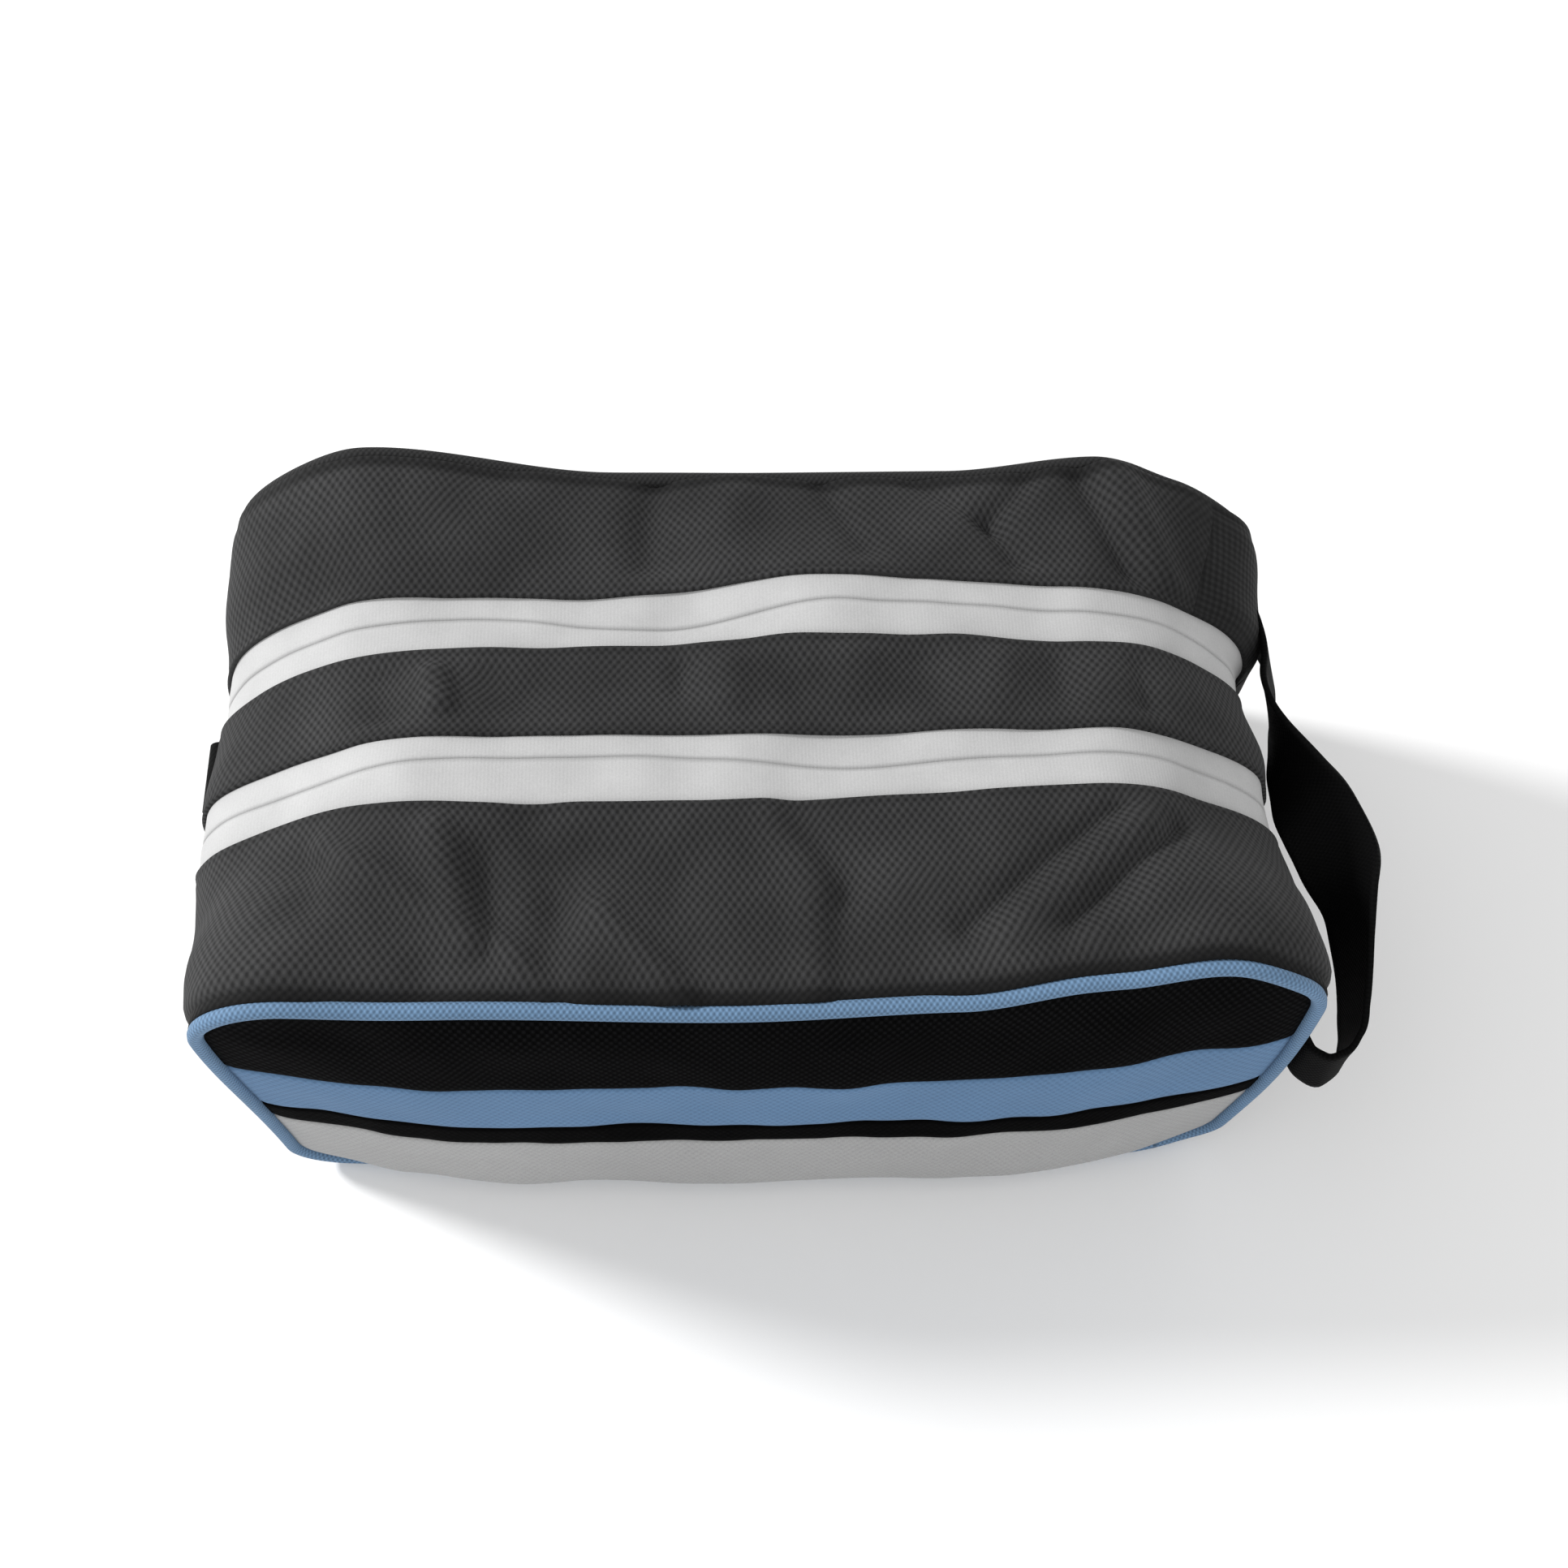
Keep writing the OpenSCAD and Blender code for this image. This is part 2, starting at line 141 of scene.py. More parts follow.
# Wander of the fabric edge on the lip side and on the centre side of each zip
EDGE_WANDER = {
    ("front", "lip"): [(-150, 0), (-80, -2), (-20, -2.5), (60, 0), (150, 0)],
    ("front", "centre"): [(-150, 0), (0, 0), (150, 0)],
    ("rear", "lip"): [(-150, 0), (-60, -1.5), (10, 2.5), (80, 1.5), (150, 0)],
    ("rear", "centre"): [(-150, 0), (-40, 0.5), (20, 1), (150, 0)],
}


def corner_r(y):
    """Radius of the top corners at depth y."""
    zip_front, zip_back = front_zip.front, rear_zip.back
    front = smooth((zip_front - y) / (zip_front + SEAM_Y))
    back = smooth((y - zip_back) / (SEAM_Y - zip_back))
    return SHOULDER_R + front * (FRONT_R - SHOULDER_R) + back * (BACK_R - SHOULDER_R)


def drape(p):
    """Moves points of the crisp bag to where the soft one sags, swells and leans."""
    x, y, z = p[..., 0], p[..., 1], p[..., 2]
    high = smooth((z - 60 * MM) / (TOP_Z - 60 * MM))
    low = 1 - smooth(z / (0.6 * TOP_Z))
    lines = [-SEAM_Y, front_zip.slit, rear_zip.slit, SEAM_Y]
    lifts = [through(r, x) for r in (FRONT_LIFT, FRONT_ZIP_LIFT, REAR_ZIP_LIFT, BACK_LIFT)]
    lift = lifts[0]
    for i in range(3):
        q = smooth((y - lines[i]) / (lines[i + 1] - lines[i]))
        lift = np.where(y > lines[i], lifts[i] + (lifts[i + 1] - lifts[i]) * q, lift)
    front = smooth((front_zip.front - y) / (front_zip.front + SEAM_Y))
    back = smooth((y - rear_zip.back) / (SEAM_Y - rear_zip.back))
    dy = front * (high * through(FRONT_SHIFT, x) + low * through(LOW_FRONT_SHIFT, x))
    dy = dy + back * high * through(BACK_SHIFT, x)
    wall = smooth((np.abs(x) - 0.8 * HALF_W) / (0.2 * HALF_W))
    peak = 1 + 0.8 * np.where(x < 0, smooth((-y - 60 * MM) / (35 * MM)), 0)
    tall = np.sin(np.clip(z / (TOP_Z * 1.15), 0, 1) ** peak * math.pi) ** 1.2
    near = [np.exp(-(((y - zip_.slit) / (10 * MM)) ** 2)) for zip_ in (front_zip, rear_zip)]
    level = smooth((z - 55 * MM) / (22 * MM)) * (1 - smooth((z - 96 * MM) / (14 * MM)))
    held = 1 - (1 - HELD_SWELL) * np.maximum(*near) * level
    dx = np.where(x < 0, -through(LEFT_SWELL, y), through(RIGHT_SWELL, y) * held) * wall * tall
    return np.stack([x + dx, y + dy, z + high * lift], -1)


# Soft folds in the top cloth: from x, y to x, y, half width and height, in millimetres
FOLDS = [
    (-103, -42, -90, -75, 6, 3.4), (-138, -44, -91, -77, 5, 2.8), (-87, -49, -86, -74, 9, -4.2),
    (-143, -51, -142, -65, 9, -3.1), (-103, -88, -75, -92, 8, -2.8),
    (-73, -37, -64, -66, 9, -3.2), (-64, -66, -66, -92, 8, -2.5), (-81, -78, -68, -93, 4, 2.8),
    (-51, -70, -26, -93, 5, 3.5), (-56, -50, -28, -58, 9, -3.1), (3, -38, 18, -60, 6, 2.8),
    (15, -68, 16, -95, 6, 2.8), (8, -37, 26, -60, 8, -2.2), (27, -63, 22, -90, 9, -2.2),
    (114, -39, 63, -76, 5, -3.9), (121, -45, 76, -78, 6, 2.8), (134, -45, 96, -78, 5, -3.9),
    (103, -84, 122, -73, 7, 2.4), (-124, 14, -123, 2, 9, -3.1), (-106, 15, -104, 4, 4, 3.9),
    (-89, 13, -78, 7, 8, -3.1), (-24, 18, -25, 9, 5, -2.4), (8, 15, 13, 8, 7, -2.1),
    (57, 22, 59, 10, 12, -3.1), (101, 19, 102, 7, 7, -2.4), (129, 19, 130, 3, 6, -2.8),
    (-9, 16, -9, 6, 6, 2.1), (30, 19, 32, 8, 8, 2.1), (82, 20, 81, 7, 7, 2.1),
    (-33, 95, -36, 61, 8, -3.5), (25, 94, 39, 63, 6, -3.1), (100, 94, 83, 76, 5, -2.8),
    (83, 76, 91, 59, 6, -3.9), (117, 90, 133, 52, 6, -4.2), (129, 90, 144, 51, 7, 3.1),
    (57, 94, 84, 73, 5, -2.4), (-141, 97, -87, 92, 8, -2.1), (-166, 63, -142, 69, 12, 2.1),
    (-7, 88, -8, 60, 10, 2.1),
]


def fold(x, y, ax, ay, bx, by, width, height):
    """A ridge, or a valley where height is negative, that fades at both ends."""
    a, d = np.array([ax, ay]) * MM, np.array([bx - ax, by - ay]) * MM
    share = np.clip(((x - a[0]) * d[0] + (y - a[1]) * d[1]) / (d @ d), 0, 1)
    away = np.hypot(x - a[0] - share * d[0], y - a[1] - share * d[1]) / (width * MM)
    return height * MM * np.exp(-away ** 2)


def rumple(p):
    """Height of the cloth's dimples and creases at points of the crisp bag."""
    flat = p.reshape(-1, 3)
    h = np.zeros(len(flat))
    for i, q in enumerate(flat):
        v = Vector(q)
        h[i] = 2.2 * noise.noise(v * 24) + 1.1 * noise.noise(v * 52 + Vector((3, 7, 1)))
    h = h.reshape(p.shape[:-1]) * MM
    top = smooth((p[..., 2] - 120 * MM) / (25 * MM))
    zip_gap = np.minimum(np.abs(p[..., 1] - front_zip.slit), np.abs(p[..., 1] - rear_zip.slit))
    top = top * smooth((zip_gap - 11 * MM) / (9 * MM))
    for row in FOLDS:
        h = h + top * fold(p[..., 0], p[..., 1], *row)
    return h


def pinch(distance, depth, width):
    """Depth of the groove at that distance from a seam."""
    return -depth * np.exp(-((distance / width) ** 2))


# ---------------------------------------------------------------- meshes
def mesh_object(name, verts, faces, cloth=None, materials=(), face_materials=None):
    mesh = bpy.data.meshes.new(name)
    mesh.from_pydata([tuple(v) for v in verts], [], [tuple(f) for f in faces])
    mesh.update()
    if cloth is not None:
        data = mesh.attributes.new("cloth", "FLOAT_VECTOR", "POINT")
        flat = np.zeros((len(verts), 3), np.float32)
        given = np.asarray(cloth).reshape(len(verts), -1)
        flat[:, :given.shape[1]] = given
        data.data.foreach_set("vector", flat.ravel())
    for m in materials:
        mesh.materials.append(m)
    if face_materials is not None:
        mesh.polygons.foreach_set("material_index", face_materials)
    mesh.polygons.foreach_set("use_smooth", [True] * len(mesh.polygons))
    obj = bpy.data.objects.new(name, mesh)
    bpy.context.scene.collection.objects.link(obj)
    return obj


def grid_faces(nu, nv, flip=False, keep=None, wrap_v=False):
    faces = []
    last_v = nv if wrap_v else nv - 1
    for i in range(nu - 1):
        for j in range(last_v):
            if keep is not None and not keep(i, j):
                continue
            k = (j + 1) % nv
            f = (i * nv + j, (i + 1) * nv + j, (i + 1) * nv + k, i * nv + k)
            faces.append(f[::-1] if flip else f)
    return faces


def grid_object(name, points, cloth, materials, flip=False, keep=None, face_materials=None):
    nu, nv = points.shape[:2]
    return mesh_object(name, points.reshape(-1, 3), grid_faces(nu, nv, flip, keep),
                       cloth, materials, face_materials)


def thicken(obj, thickness, inner_slot=0, rim_slot=0, offset=-1):
    mod = obj.modifiers.new("thickness", "SOLIDIFY")
    mod.thickness = thickness
    mod.offset = offset
    mod.material_offset = inner_slot
    mod.material_offset_rim = rim_slot
    mod.use_even_offset = True
    return obj


def arch_points(t, y):
    """Points and normals of the crisp gusset at t (-1 left foot, 0 top middle, 1 right foot)."""
    r = corner_r(y)
    flat = HALF_W - r
    arc = r * math.pi / 2
    length = flat + arc + (TOP_Z - r - BASE_R)
    a = np.abs(t) * length
    turn = np.clip((a - flat) / r, 0, math.pi / 2)
    x = np.minimum(a, flat) + r * np.sin(turn)
    z = TOP_Z - r + r * np.cos(turn) - np.maximum(a - flat - arc, 0)
    side = np.where(t < 0, -1.0, 1.0)
    p = np.stack([side * x, y, z], -1)
    n = np.stack([side * np.sin(turn), np.zeros_like(x), np.cos(turn)], -1)
    return p, n, side * a


def arch_patch(t_values, y_of, rows, offset=0.0, seams=(), crumple=1.0):
    """Grid on the gusset. y_of(x, q) gives the depth at share q of the way across.
    The cloth coordinates are length, depth and painted shade: how much a seam's groove darkens the
    colour."""
    t = np.repeat(np.asarray(t_values)[:, None], rows, 1)
    q = np.repeat(np.linspace(0, 1, rows)[None, :], len(t_values), 0)
    x_guess = arch_points(t, np.zeros_like(t))[0][..., 0]
    y = y_of(x_guess, q)
    p, n, s = arch_points(t, y)
    h = offset + crumple * rumple(p)
    shade = np.zeros_like(h)
    for seam, depth, width in seams:
        line = seam(x_guess)
        outer = np.abs(line) > GUSSET_Y - 4 * MM
        away = np.where(outer, np.maximum(np.abs(line) - np.abs(y), 0), np.abs(y - line))
        h = h + pinch(away, depth, width)
        # Painted shade along each seam's groove: the colour is darkened there, more for deeper grooves.
        shade = np.maximum(shade, min(1, depth / MM) * np.exp(-((away / (0.8 * width)) ** 2)))
    out = drape(p) + n * h[..., None]
    return out, np.stack([s, y, shade], -1)


def edge_line(zip_, side):
    """Fabric edge beside a zip as a function of x."""
    base = {"front": {"lip": zip_.front, "centre": zip_.back},
            "rear": {"lip": zip_.back, "centre": zip_.front}}[zip_.name][side]
    return lambda x: base + through(EDGE_WANDER[(zip_.name, side)], x)


def slit_line(zip_, shift=0.0):
    return lambda x: zip_.slit + shift + through(SLIT_WANDER[zip_.name], x)


def between(a, b):
    return lambda x, q: a(x) + (b(x) - a(x)) * q


def constant(v):
    return lambda x: np.full(np.shape(x), v)


# ---------------------------------------------------------------- materials
class Graph:
    """Short calls for building one material's nodes."""

    def __init__(self, name):
        self.material = bpy.data.materials.new(name)
        self.material.use_nodes = True
        self.tree = self.material.node_tree
        self.tree.nodes.clear()
        self.out = self.node("ShaderNodeOutputMaterial")
        self.shader = self.node("ShaderNodeBsdfPrincipled")
        self.link(self.shader, 0, self.out, 0)

    def node(self, kind, **values):
        made = self.tree.nodes.new(kind)
        for key, value in values.items():
            setattr(made, key, value)
        return made

    def link(self, a, i, b, j):
        self.tree.links.new(a.outputs[i], b.inputs[j])

    def math(self, operation, a, b=None, c=None):
        made = self.node("ShaderNodeMath", operation=operation)
        for slot, value in enumerate((a, b, c)):
            if value is None:
                continue
            if isinstance(value, (int, float)):
                made.inputs[slot].default_value = value
            else:
                self.tree.links.new(value, made.inputs[slot])
        return made.outputs[0]

    def noise(self, coords, scale, detail=3.0, rough=0.5):
        made = self.node("ShaderNodeTexNoise")
        made.inputs["Scale"].default_value = scale
        made.inputs["Detail"].default_value = detail
        made.inputs["Roughness"].default_value = rough
        self.tree.links.new(coords, made.inputs["Vector"])
        return made.outputs["Fac"]

    def ramp(self, value, stops):
        made = self.node("ShaderNodeValToRGB")
        elements = made.color_ramp.elements
        while len(elements) < len(stops):
            elements.new(0.5)
        for element, (place, colour) in zip(elements, stops):
            element.position = place
            element.color = (*colour, 1)
        self.tree.links.new(value, made.inputs[0])
        return made.outputs[0]

    def mix(self, factor, a, b, blend="MIX"):
        made = self.node("ShaderNodeMix", data_type="RGBA", blend_type=blend)
        for slot, value in ((0, factor), (6, a), (7, b)):
            if isinstance(value, (int, float)):
                made.inputs[slot].default_value = value
            elif isinstance(value, tuple):
                made.inputs[slot].default_value = (*value, 1)
            else:
                self.tree.links.new(value, made.inputs[slot])
        return made.outputs[2]

    def bump(self, height, distance, strength=1.0, under=None):
        made = self.node("ShaderNodeBump")
        made.inputs["Strength"].default_value = strength
        made.inputs["Distance"].default_value = distance
        self.tree.links.new(height, made.inputs["Height"])
        if under is not None:
            self.tree.links.new(under, made.inputs["Normal"])
        return made.outputs[0]

    def finish(self, colour, roughness, normal):
        self.tree.links.new(colour, self.shader.inputs["Base Color"])
        if isinstance(roughness, (int, float)):
            self.shader.inputs["Roughness"].default_value = roughness
        else:
            self.tree.links.new(roughness, self.shader.inputs["Roughness"])
        self.tree.links.new(normal, self.shader.inputs["Normal"])
        return self.material


def scaled(colour, k):
    return tuple(c * k for c in colour)


def woven(name, colour, period=(4.2, 3.2), angle=0.0, dark=0.45, light=1.5, depth=0.35,
          mottle=0.25, rough=0.85, sheen=0.03, warp=0.12, shine=0.15):
    """Coarse cloth: raised yarn dots in offset rows, with fibres, fading, painted shade beside seams and
    a faint sheen.
    """
    g = Graph(name)
    cloth = g.node("ShaderNodeAttribute", attribute_name="cloth")
    place = g.node("ShaderNodeTexCoord")
    turn = g.node("ShaderNodeMapping")
    turn.inputs["Rotation"].default_value = (0, 0, math.radians(angle))
    turn.inputs["Scale"].default_value = tuple(math.tau / (p * MM) for p in period) + (1,)
    g.link(cloth, 1, turn, 0)
    split = g.node("ShaderNodeSeparateXYZ")
    g.link(turn, 0, split, 0)
    wobble = g.noise(place.outputs["Object"], 120.0, 2.0)
    drift = g.math("MULTIPLY", g.math("SUBTRACT", wobble, 0.5), warp * math.tau)
    across = g.math("SINE", g.math("ADD", split.outputs[0], drift))
    along = g.math("SINE", g.math("ADD", split.outputs[1], drift))
    fibres = g.noise(place.outputs["Object"], 2600.0, 2.0)
    patches = g.noise(place.outputs["Object"], 30.0, 3.0)
    ribs = g.math("COSINE", g.math("ADD", g.math("SUBTRACT", split.outputs[0], split.outputs[1]),
                                   drift))
    share = g.ramp(g.noise(place.outputs["Object"], 42.0, 1.0), [(0.57, (0, 0, 0)), (0.7, (0.6,) * 3)])
    knit = g.mix(share, g.math("MULTIPLY", across, along), g.math("MULTIPLY", ribs, 0.7))
    dots = g.math("MULTIPLY_ADD", knit, 0.5, 0.5)
    yarn = g.ramp(dots, [(0.1, scaled(colour, dark)), (0.45, colour), (0.98, scaled(colour, light))])
    faded = g.ramp(patches, [(0.25, (1 - mottle,) * 3), (0.75, (1 + mottle,) * 3)])
    coloured = g.mix(1.0, yarn, faded, "MULTIPLY")
    speck = g.ramp(fibres, [(0.3, (0.85,) * 3), (0.8, (1.15,) * 3)])
    coloured = g.mix(1.0, coloured, speck, "MULTIPLY")
    # Darkening from the cloth attribute's third value: painted shade beside seams and hems, and on the
    # rear strip a fade into the darker end cloth
    raw = g.node("ShaderNodeSeparateXYZ")
    g.link(cloth, 1, raw, 0)
    coloured = g.mix(g.math("MULTIPLY", raw.outputs[2], 0.85), coloured, scaled(colour, 0.1))
    fine = g.bump(fibres, 0.05 * MM, 0.5)
    normal = g.bump(dots, depth * MM, 0.9, fine)
    roughness = g.math("MULTIPLY_ADD", fibres, 0.12, rough - 0.06)
    g.shader.inputs["Sheen Weight"].default_value = sheen
    g.shader.inputs["Sheen Roughness"].default_value = 0.5
    g.shader.inputs["Specular IOR Level"].default_value = shine
    return g.finish(coloured, roughness, normal)


def ribbed(name, colour, pitch, depth, contrast, rough, axis=0, sheen=0.02, cross=None, shine=0.2):
    """Fine ribs across the cloth coordinate of the given axis, as on tape, webbing and piping."""
    g = Graph(name)
    cloth = g.node("ShaderNodeAttribute", attribute_name="cloth")
    place = g.node("ShaderNodeTexCoord")
    split = g.node("ShaderNodeSeparateXYZ")
    g.link(cloth, 1, split, 0)
    ribs = g.math("SINE", g.math("MULTIPLY", split.outputs[axis], math.tau / (pitch * MM)))
    if cross:
        other = g.math("SINE", g.math("MULTIPLY", split.outputs[1 - axis], math.tau / (cross * MM)))
        ribs = g.math("MULTIPLY", ribs, other)
    height = g.math("MULTIPLY_ADD", ribs, 0.5, 0.5)
    fibres = g.noise(place.outputs["Object"], 1800.0, 2.0)
    patches = g.noise(place.outputs["Object"], 45.0, 3.0)
    yarn = g.ramp(height, [(0.0, scaled(colour, 1 - contrast)), (1.0, scaled(colour, 1 + contrast))])
    tone = g.ramp(patches, [(0.3, (0.94,) * 3), (0.7, (1.05,) * 3)])
    coloured = g.mix(1.0, yarn, tone, "MULTIPLY")
    speck = g.ramp(fibres, [(0.3, (0.93,) * 3), (0.8, (1.06,) * 3)])
    coloured = g.mix(1.0, coloured, speck, "MULTIPLY")
    # Painted shade: the cloth attribute's third value darkens the colour, as along the slit between a
    # zip's tapes
    coloured = g.mix(g.math("MULTIPLY", split.outputs[2], 0.6), coloured, scaled(colour, 0.3))
    fine = g.bump(fibres, 0.03 * MM, 0.5)
    normal = g.bump(height, depth * MM, 0.8, fine)
    roughness = g.math("MULTIPLY_ADD", fibres, 0.1, rough - 0.05)
    g.shader.inputs["Sheen Weight"].default_value = sheen
    g.shader.inputs["Specular IOR Level"].default_value = shine
    return g.finish(coloured, roughness, normal)


def moulded(name, colour, rough, metallic=0.0, scratch=0.3, wear=None):
    """Lacquered metal or plastic with fine scratches and a slightly worn tone."""
    g = Graph(name)
    place = g.node("ShaderNodeTexCoord")
    grain = g.noise(place.outputs["Object"], 900.0, 4.0, 0.6)
    patches = g.noise(place.outputs["Object"], 160.0, 4.0, 0.7)
    worn = wear or scaled(colour, 1.6)
    tone = g.ramp(patches, [(0.45, colour), (0.8, worn)])
    roughness = g.math("MULTIPLY_ADD", patches, scratch, rough - scratch / 2)
    normal = g.bump(grain, 0.02 * MM, 0.4)
    g.shader.inputs["Metallic"].default_value = metallic
    return g.finish(tone, roughness, normal)


CHARCOAL = (0.0265, 0.0265, 0.027)
BLACK = (0.0012, 0.0012, 0.0013)
body_cloth = woven("body_cloth", CHARCOAL, period=(2.8, 3.7), dark=0.48, light=1.6, depth=0.24)
end_cloth = woven("end_cloth", scaled(CHARCOAL, 0.33), period=(3.6, 3.6), angle=45, light=2.1,
                  dark=0.5, depth=0.22)
lining_cloth = woven("lining_cloth", (0.07, 0.07, 0.075), period=(1.4, 1.4), depth=0.1, light=1.15,
                     dark=0.8)
black_cloth = woven("black_cloth", BLACK, period=(2.8, 3.7), light=5.0, dark=0.6, depth=0.2,
                    sheen=0, shine=0.02)
black_band_cloth = woven("black_band_cloth", scaled(BLACK, 0.7), period=(2.8, 3.7), light=1.5,
                         dark=0.8, depth=0.12, sheen=0, shine=0.02)
blue_cloth = woven("blue_cloth", (0.104, 0.193, 0.328), period=(2.8, 3.7), light=1.1, dark=0.86,
                   depth=0.14, mottle=0.05)
grey_cloth = woven("grey_cloth", (0.355, 0.355, 0.355), period=(2.8, 3.7), light=1.05, dark=0.93,
                   depth=0.1, mottle=0.05)
blue_cord = ribbed("blue_cord", (0.118, 0.205, 0.325), 1.9, 0.3, 0.36, 0.7, cross=2.6)
body_cord = ribbed("body_cord", scaled(CHARCOAL, 0.7), 1.9, 0.3, 0.3, 0.8, cross=2.6)
tape_cloth = ribbed("tape_cloth", (0.475, 0.475, 0.475), 1.2, 0.025, 0.012, 0.75)
coil_plastic = moulded("coil_plastic", (0.40, 0.40, 0.40), 0.45)
slider_metal = moulded("slider_metal", (0.006, 0.006, 0.0065), 0.34, 0.4, 0.25, (0.03, 0.03, 0.03))
strap_webbing = ribbed("strap_webbing", (0.0022, 0.0022, 0.0023), 1.6, 0.2, 0.5, 0.75, cross=2.2,
                       sheen=0, shine=0.07)
dark_thread = ribbed("dark_thread", (0.012, 0.012, 0.0125), 0.5, 0.05, 0.3, 0.6)
board_plastic = moulded("board_plastic", (0.02, 0.02, 0.022), 0.6)
divider_cloth = woven("divider_cloth", (0.05, 0.05, 0.053), period=(1.4, 1.4), depth=0.12,
                      light=1.2, dark=0.8)


# ---------------------------------------------------------------- gusset, strips and zips
def steps(a, b, pitch):
    return np.linspace(a, b, max(2, int(round(abs(b - a) / pitch)) + 1))


T_LENGTH = 0.29
STRIP_T = steps(-END_SEAM_T, END_SEAM_T, 2.6 * MM / T_LENGTH)
TAPE_TS = steps(-ZIP_TIP_T, ZIP_TIP_T, 2.6 * MM / T_LENGTH)


def lift_with(piece):
    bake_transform(piece)


def top_strip(zip_, sign):
    """Cloth between a panel's seam and its zip."""
    seam = constant(sign * (GUSSET_Y + 0.8 * MM))
    groove = constant(sign * (GUSSET_Y - 2.2 * MM))
    edge = edge_line(zip_, "lip")
    fold = lambda x: edge(x) + sign * HEM
    points, cloth = arch_patch(
        STRIP_T, between(seam, edge) if sign < 0 else between(edge, seam), 34,
        seams=[(groove, FRONT_GROOVE if sign < 0 else BACK_GROOVE, GROOVE_W),
               (fold, HEM_DEPTH, HEM_W)])
    mid = (STRIP_T[:-1] + STRIP_T[1:]) / 2
    on_end = np.repeat(mid > (END_CLOTH_T if sign > 0 else 2), 33)
    if sign > 0:
        fade = 0.7 * smooth((STRIP_T - END_CLOTH_T + 0.09) / 0.09) * (STRIP_T < END_CLOTH_T)
        cloth[..., 2] = np.maximum(cloth[..., 2], fade[:, None])
    piece = grid_object(zip_.name + "_strip_cloth", points, cloth,
                        [body_cloth, lining_cloth, end_cloth], flip=True,
                        face_materials=np.where(on_end, 2, 0))
    thicken(piece, SHELL_T, 0)
    lift_with(piece)
    side = ("_gusset_left", "_gusset_right", "_lip")
    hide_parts(*[zip_.name + s for s in side])
    return piece


def tape(zip_, half, side_sign):
    """One tape of a zip, from under the fabric edge to the wandering slit."""
    edge = edge_line(zip_, half)
    under = lambda x: edge(x) + side_sign * 3 * MM
    slit = slit_line(zip_, side_sign * 0.05 * MM)
    span = between(under, slit) if side_sign < 0 else between(slit, under)
    # The slit's groove also paints a thin line of shade along the slit.
    points, cloth = arch_patch(TAPE_TS, span, 10, offset=-TAPE_DROP,
                               seams=[(slit, 0.42 * MM, 0.45 * MM)])
    piece = grid_object(f"{zip_.name}_zip_{half}_tape_cloth", points, cloth, [tape_cloth], flip=True)
    thicken(piece, TAPE_T)
    if half == "lip":
        lift_with(piece)
        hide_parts(zip_.name + "_zip_lip_tape", zip_.name + "_zip_end_tapes")
    else:
        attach(piece, "shell")
        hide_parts(zip_.name + "_zip_centre_tape")
    return piece


def coil(zip_, half, side_sign):
    """Moulded coil under one tape: a cord whose radius swells at every tooth."""
    pitch, sides = 1.5 * MM, 8
    turns = steps(-ZIP_TIP_T, ZIP_TIP_T, pitch / 2 / T_LENGTH)
    y = slit_line(zip_, side_sign * 1.5 * MM)
    centre = arch_patch(turns, between(y, y), 2, offset=-TAPE_DROP - TAPE_T - 1.1 * MM)[0][:, 0]
    ahead = np.gradient(centre, axis=0)
    ahead /= np.linalg.norm(ahead, axis=1)[:, None]
    across = np.array([0.0, 1.0, 0.0]) - ahead * ahead[:, 1:2]
    across /= np.linalg.norm(across, axis=1)[:, None]
    up = np.cross(across, ahead)
    radius = np.where(np.arange(len(turns)) % 2 == 0, 1.15 * MM, 0.75 * MM)[:, None, None]
    angle = np.linspace(0, math.tau, sides, endpoint=False)[None, :, None]
    ring = centre[:, None] + radius * (np.cos(angle) * across[:, None] + np.sin(angle) * up[:, None])
    piece = mesh_object(f"{zip_.name}_zip_{half}_coil_teeth", ring.reshape(-1, 3),
                        grid_faces(len(turns), sides, wrap_v=True), None, [coil_plastic])
    if half == "lip":
        lift_with(piece)
        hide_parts(zip_.name + "_zip_lip_coil", zip_.name + "_zip_end_coils")
    else:
        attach(piece, "shell")
        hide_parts(zip_.name + "_zip_centre_coil")
    return piece


def centre_band():
    front, back = edge_line(front_zip, "centre"), edge_line(rear_zip, "centre")
    folds = [(lambda x: front(x) + HEM, HEM_DEPTH, HEM_W),
             (lambda x: back(x) - HEM, HEM_DEPTH, HEM_W)]
    points, cloth = arch_patch(STRIP_T, between(front, back), 18, seams=folds)
    piece = grid_object("centre_band_cloth", points, cloth, [body_cloth, lining_cloth], flip=True)
    thicken(piece, SHELL_T)
    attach(piece, "shell")
    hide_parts("centre_band")
    return piece


